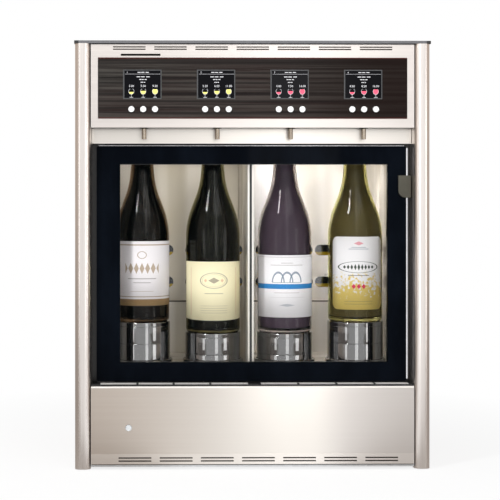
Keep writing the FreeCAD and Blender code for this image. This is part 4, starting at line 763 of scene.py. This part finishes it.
def numbers(words, x, z, high, y):
    curve = bpy.data.curves.new("numbers", "FONT")
    curve.body = words
    curve.size = high / 0.72  # a digit is 0.72 of its font's size high
    curve.align_x = "CENTER"
    curve.resolution_u = 2
    text = bpy.data.objects.new("numbers", curve)
    bpy.context.collection.objects.link(text)
    flat = bpy.data.meshes.new_from_object(text.evaluated_get(bpy.context.evaluated_depsgraph_get()))
    bpy.data.objects.remove(text)
    flat.transform(Matrix.Translation((x, y, z)) @ Matrix.Rotation(math.radians(90), 4, "X"))
    return flat


displayLow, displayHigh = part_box("displays")
middle = (displayLow[2] + displayHigh[2]) / 2
face = displayLow[1] + screen["sink"]
level = [face - screen["layer"] * step for step in range(1, 5)]
halfWide, halfHigh = screen["width"] / 2, screen["height"] / 2
layers = {name: bmesh.new() for name in ("back", "grey", "white", "dark", "yellow", "pink")}
for i in wines:
    low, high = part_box(f"button_{i}_half")
    x = (low[0] + high[0]) / 2 - screen["offset"]
    panel(layers["back"], x - halfWide, x + halfWide, middle - halfHigh, middle + halfHigh, level[0])
    line = middle + screen["headerLine"]
    panel(layers["grey"], x - halfWide + screen["inset"], x + halfWide - screen["inset"],
          line - screen["lineHigh"] / 2, line + screen["lineHigh"] / 2, level[1])
    for up, wide in screen["lines"]:
        for word in screen["words"]:
            start = x - wide / 2 + wide * word
            panel(layers["white"], start, start + wide * screen["wordWide"], middle + up - screen["barHigh"] / 2,
                  middle + up + screen["barHigh"] / 2, level[1])
    for spot, filledTo in enumerate(fills):
        across = x + (spot - 1) * screen["pitch"] + screen["offset"]
        centre, foot = middle + screen["bowlLevel"], middle + screen["footLevel"]
        wide, tall = screen["bowlWide"], screen["bowlHigh"]
        inner = 1 - screen["line"] / wide
        filled = inner * screen["fillWide"]
        bowl(layers["white"], across, centre, wide, tall, level[1], screen["rim"])
        bowl(layers["dark"], across, centre, wide * inner, tall * inner, level[2], screen["mouth"])
        bowl(layers["yellow" if i < 3 else "pink"], across, centre, wide * filled, tall * filled, level[3], filledTo)
        panel(layers["white"], across - screen["stem"] / 2, across + screen["stem"] / 2, foot,
              centre - tall * screen["stemTop"], level[1])
        panel(layers["white"], across - screen["footWide"], across + screen["footWide"],
              foot - screen["footBelow"], foot + screen["footAbove"], level[1])
        layers["white"].from_mesh(numbers(amounts[i][spot], across, middle + screen["numberLevel"],
                                          screen["numberHigh"], level[1]))
    layers["white"].from_mesh(numbers(str(i), x + screen["stationAcross"], middle + screen["stationLevel"],
                                      screen["stationHigh"], level[1]))
for name, shape in layers.items():
    keep(f"screen_{name}", shape, screenTones["back" if name == "dark" else name], "case", False)
print("displays")


# small fittings, most of them bars
def bar(shape, low, high, rounding=0.0):
    made = bmesh.ops.create_cube(shape, size=1.0)["verts"]
    size = [b - a for a, b in zip(low, high)]
    centre = [(a + b) / 2 for a, b in zip(low, high)]
    bmesh.ops.transform(shape, matrix=Matrix.Translation(centre) @ Matrix.Diagonal((*size, 1)), verts=made)
    if rounding:
        edges = {edge for spot in made for edge in spot.link_edges}
        bmesh.ops.bevel(shape, geom=list(edges), offset=rounding, offset_type="OFFSET", affect="EDGES", segments=2,
                        profile=0.5, material=-1)


def bars(name, boxes, rounding, material, body):
    shape = bmesh.new()
    for low, high in boxes:
        bar(shape, low, high, rounding)
    keep(name, shape, material, body, False)


def facingBack(shape, x, y, z, radius, segments):
    # a flat disc that looks out at the back
    made = bmesh.ops.create_circle(shape, cap_ends=True, segments=segments, radius=radius)["verts"]
    bmesh.ops.transform(shape, matrix=Matrix.Translation((x, y, z)) @ Matrix.Rotation(math.radians(-90), 4, "X"),
                        verts=made)
    return list({face for spot in made for face in spot.link_faces})


# polished strips on the door's right and top edges
trim = {"thick": 0.0022, "deep": 0.006, "top": 0.0007, "gap": 0.00005, "inset": 0.003, "round": 0.0002}
low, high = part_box("door_glass")
bars("doorEdgeTrim", [
    ((high[0] + trim["gap"], low[1], low[2] + trim["inset"]),
     (high[0] + trim["thick"], high[1] + trim["deep"], high[2] - trim["inset"])),
    ((low[0] + trim["inset"], low[1], high[2] + trim["gap"]),
     (high[0] - trim["inset"], high[1], high[2] + trim["top"])),
], trim["round"], castMetal("edgeTrim", tone(0.86, 0.86, 0.88), 0.18), "door")

# thin upright posts at the ends of the backsplash
post = {"across": 0.2350, "half": 0.0014, "front": -0.1567, "back": -0.1551, "foot": 0.0010, "head": 0.0006}
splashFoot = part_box("head_chassis")[0][2]
bars("splashPosts", [
    ((x - post["half"], post["front"], splashFoot + post["foot"]),
     (x + post["half"], post["back"], headUnder - post["head"])) for x in (-post["across"], post["across"])
], 0.0003, finish["splash"], "case")

# a dark sheet set into the vent slots, just behind the sheet's face: painted shade for the dark inside the vents
ventShadeSheet = {"front": -0.1796, "back": -0.1792, "edge": 0.0003}
vents = {
    "fascia": {"left": -0.2050, "right": 0.2050, "rows": ((0.6135, 0.6153), (0.6169, 0.6187))},
    "lower": {"left": -0.1970, "right": 0.2136, "rows": ((0.0117, 0.0137), (0.0162, 0.0182))},
}
for name, vent in vents.items():
    bars(f"{name}VentShade", [
        ((vent["left"], ventShadeSheet["front"], foot - ventShadeSheet["edge"]), (vent["right"], ventShadeSheet["back"], top + ventShadeSheet["edge"]))
        for foot, top in vent["rows"]
    ], 0.0001, finish["vent"], "case")

# a pale strip along the lower panel's folded top edge: a painted highlight
edgeHighlight = {"half": 0.2362, "front": -0.1804, "back": -0.1790, "low": 0.1192, "high": 0.1217}
bars("lowerPanelEdgeHighlight", [((-edgeHighlight["half"], edgeHighlight["front"], edgeHighlight["low"]), (edgeHighlight["half"], edgeHighlight["back"], edgeHighlight["high"]))],
     0.0003, satinPaint("paintedEdgeHighlight", tone(0.93, 0.89, 0.84), 0.34, 0.03, 0.3), "case")

# socket pins
socket = {"x": -0.190, "z": 0.040, "floor": 0.1555, "tip": 0.1690, "wide": 0.0020, "high": 0.0040,
          "pins": ((-0.007, -0.002), (0.007, -0.002), (0.0, 0.002))}
bars("socketPins", [
    ((socket["x"] + across - socket["wide"] / 2, socket["floor"], socket["z"] + up - socket["high"] / 2),
     (socket["x"] + across + socket["wide"] / 2, socket["tip"], socket["z"] + up + socket["high"] / 2))
    for across, up in socket["pins"]
], 0.0003, finish["screw"], "case")

# the mains switch's bar and ring
marks = {"x": -0.152, "face": 0.17705, "sink": 0.0002, "bar": 0.0448, "barWide": 0.0008, "barHigh": 0.0040,
         "ring": 0.0352, "radius": 0.0021, "line": 0.0006}
shape = bmesh.new()
bar(shape, (marks["x"] - marks["barWide"] / 2, marks["face"] - marks["sink"], marks["bar"] - marks["barHigh"] / 2),
    (marks["x"] + marks["barWide"] / 2, marks["face"], marks["bar"] + marks["barHigh"] / 2))
disc = facingBack(shape, marks["x"], marks["face"], marks["ring"], marks["radius"], 40)
bmesh.ops.inset_region(shape, faces=disc, thickness=marks["line"], use_even_offset=True)
bmesh.ops.delete(shape, geom=disc, context="FACES")
markWhite = mouldedPlastic("markWhite", tone(0.80, 0.80, 0.78), 0.5, 0.05, 900)
keep("switchMarks", shape, markWhite, "rocker", False)

# hex recesses in the cover screws' heads, drawn as flat black hexagons: painted shade for the hollows
recessShade = {"face": 0.17285, "radius": 0.0015, "levels": (0.048, 0.209, 0.418, 0.583), "across": 0.2485}
shape = bmesh.new()
for level in recessShade["levels"]:
    for across in (-recessShade["across"], recessShade["across"]):
        facingBack(shape, across, recessShade["face"], level, recessShade["radius"], 6)
keep("screwRecessShade", shape, finish["trayBlack"], "case", False)

# a dark brown strip along the ledge at the back of each compartment: painted shade for the ledge's shadow line
ledge = {"inner": 0.0050, "outer": 0.2095, "front": 0.0992, "back": 0.1005, "low": 0.2239, "high": 0.2261}
bars("ledgeShadeLines", [
    ((left, ledge["front"], ledge["low"]), (right, ledge["back"], ledge["high"]))
    for left, right in ((-ledge["outer"], -ledge["inner"]), (ledge["inner"], ledge["outer"]))
], 0.0003, mouldedPlastic("ledgeShadeBrown", tone(0.045, 0.035, 0.025), 0.5), "case")

# clips along the front edge of the drip grids
clip = {"half": 0.0016, "front": 0.0002, "back": 0.0110, "below": 0.0014, "above": 0.0005,
        "left": (-0.1688, -0.1156, -0.0618), "right": (0.0675, 0.1236, 0.1797)}
for side in ("left", "right"):
    low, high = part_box(f"drip_grid_{side}")
    bars(f"gridClips_{side}", [
        ((x - clip["half"], low[1] - clip["front"], high[2] - clip["below"]),
         (x + clip["half"], low[1] + clip["back"], high[2] + clip["above"])) for x in clip[side]
    ], 0.0002, finish["trayBlack"], f"grid_{side}")

# dust filter behind the lower vents, and a black strip under the panel: painted shade for the gap between panel and
# base
dust = {"inset": 0.012, "front": 0.0004, "back": 0.0024, "low": 0.004, "high": 0.022, "round": 0.0004}
# painted shade: the black strip along the gap under the panel
gapShadeStrip = {"inset": 0.001, "front": 0.0006, "back": 0.0016, "low": -0.0012, "high": -0.0001, "round": 0.0002}
low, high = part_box("lower_panel")
shape = bmesh.new()
for strip, face in ((dust, high[1]), (gapShadeStrip, low[1])):
    bar(shape, (low[0] + strip["inset"], face + strip["front"], low[2] + strip["low"]),
        (high[0] - strip["inset"], face + strip["back"], low[2] + strip["high"]), strip["round"])
filterFoamAndGapShade = mouldedPlastic("filterFoamAndGapShade", tone(0.022, 0.016, 0.012), 0.9, 0.5, 700)
keep("dustFilterAndGapShade", shape, filterFoamAndGapShade, "case", False)

# a lamp strip under the ceiling of each compartment
strip = {"inner": 0.0164, "outer": 0.1980, "front": -0.1300, "back": -0.1220, "low": 0.4510, "high": 0.4549}
lampStrip = mouldedPlastic("lampStrip", tone(0.80, 0.78, 0.72), 0.35, 0.05, 900)
bars("lampStrips", [
    ((left, strip["front"], strip["low"]), (right, strip["back"], strip["high"]))
    for left, right in ((-strip["outer"], -strip["inner"]), (strip["inner"], strip["outer"]))
], 0.0008, lampStrip, "case")
print("fittings")


# camera: square frame, eye a little left of the middle
camera = bpy.data.cameras.new("camera")
camera.sensor_width = 36
camera.lens = 98.7
camera.shift_x = 0.150
camera.shift_y = -0.108
camera.clip_start = 0.05
eye = bpy.data.objects.new("camera", camera)
eye.location = (-0.140, -2.183, 0.400)
eye.rotation_euler = (math.radians(90), 0, math.radians(-0.75))
bpy.context.collection.objects.link(eye)
bpy.context.scene.camera = eye


# soft light: four panes in front, a narrow upright band, and small lamps inside each compartment
def softbox(name, place, aim, size, power, colour=(1, 1, 1)):
    light = bpy.data.lights.new(name, "AREA")
    light.shape = "RECTANGLE"
    light.size, light.size_y = size
    light.energy = power
    light.color = colour
    lamp = bpy.data.objects.new(name, light)
    lamp.location = place
    lamp.rotation_euler = (Vector(aim) - Vector(place)).to_track_quat("-Z", "Y").to_euler()
    lamp.visible_camera = False
    lamp.visible_transmission = False
    bpy.context.collection.objects.link(lamp)


softbox("keyTop", (0.6, -1.5, 1.7), (0, 0, 0.3), (1.3, 0.9), 7.5)
softbox("leftWindow", (-1.4, -1.7, 0.36), (0, 0, 0.25), (0.35, 0.8), 1.6)
softbox("rightWindow", (1.5, -1.4, 0.34), (0, 0, 0.22), (0.5, 0.8), 3.0)
softbox("glint", (-0.78, -1.05, 1.40), (0, -0.1, 0.38), (0.20, 0.45), 14)
softbox("band", (0.145, -0.98, 0.62), (0.145, 0, 0.62), (0.19, 1.1), 1.15)
rooms = {
    "left": {"x": -0.107, "top": 0.036, "floor": 0.18, "walls": 0.60, "colour": (1.0, 0.93, 0.82)},
    "right": {"x": 0.107, "top": 0.10, "floor": 0.04, "walls": 1.25, "colour": (0.98, 0.96, 1.0)},
}
for side, room in rooms.items():
    x, power, colour = room["x"], room["top"], room["colour"]
    softbox(f"{side}RoomTop", (x, -0.062, 0.447), (x, 0.10, 0.22), (0.19, 0.020), power, colour)
    softbox(f"{side}RoomFloor", (x, -0.030, 0.150), (x, 0.10, 0.36), (0.18, 0.03), power * room["floor"], colour)
    for name, across in (("Middle", -0.017), ("Outer", 0.088)):
        softbox(f"{side}Room{name}", (x + across, -0.030, 0.330), (x + across, 0.11, 0.330), (0.010, 0.20),
                power * room["walls"], colour)


def backdrop(r, heading, low, high, darker):
    # white where the camera looks, and a colour for gloss and glass that darkens towards the back of the room;
    # returns where it is seen, and that colour
    camera, glossy, through = [r.node("LightPath", output=f"Is {ray} Ray")
                               for ray in ("Camera", "Glossy", "Transmission")]
    away = r.node("MapRange", None, {0: heading, 1: low, 2: high, 3: 0.0, 4: 1.0})
    darkened = r.node("Math", {"operation": "SUBTRACT", "use_clamp": True}, {0: away, 1: camera})
    return camera.larger(glossy).larger(through), r.blend(darkened, tone(1, 1, 1), darker)


sky = Recipe("studio", world=True)
sky.done(Color=tone(1.0, 0.99, 0.98), Strength=0.50)
heading = sky.node("SeparateXYZ", None, {0: sky.node("TexCoord", output="Generated")}, "Y")
seen, colour = backdrop(sky, heading, -0.88, -0.40, tone(0.62, 0.53, 0.46))
sky.giveWay(seen, sky.node("Background", None, {"Color": colour, "Strength": 1.0}))
bpy.context.scene.world = sky.material

floorPaint = Recipe("paleFloor")
floorPaint.done(Base_Color=tone(0.93, 0.93, 0.93), Roughness=0.8, Specular_IOR_Level=0.1)
reach = floorPaint.node("VectorMath", {"operation": "LENGTH"}, {0: floorPaint.point()}, "Value")
fade = floorPaint.node("MapRange", None, {0: reach, 1: 0.25, 2: 0.75, 3: 0.80, 4: 1.0})
seen, colour = backdrop(floorPaint, floorPaint.axes()[1] / reach, -0.90, -0.80, tone(0.36, 0.32, 0.29))
floorPaint.giveWay(seen * fade, floorPaint.node("Emission", None, {"Color": colour, "Strength": 1.0}))

shape = bmesh.new()
bmesh.ops.create_grid(shape, x_segments=1, y_segments=1, size=6.0)
data = bpy.data.meshes.new("floor")
shape.to_mesh(data)
shape.free()
data.materials.append(floorPaint.material)
floor = bpy.data.objects.new("floor", data)
bpy.context.collection.objects.link(floor)
bpy.context.scene.view_settings.view_transform = "Standard"
print("camera, light and floor")
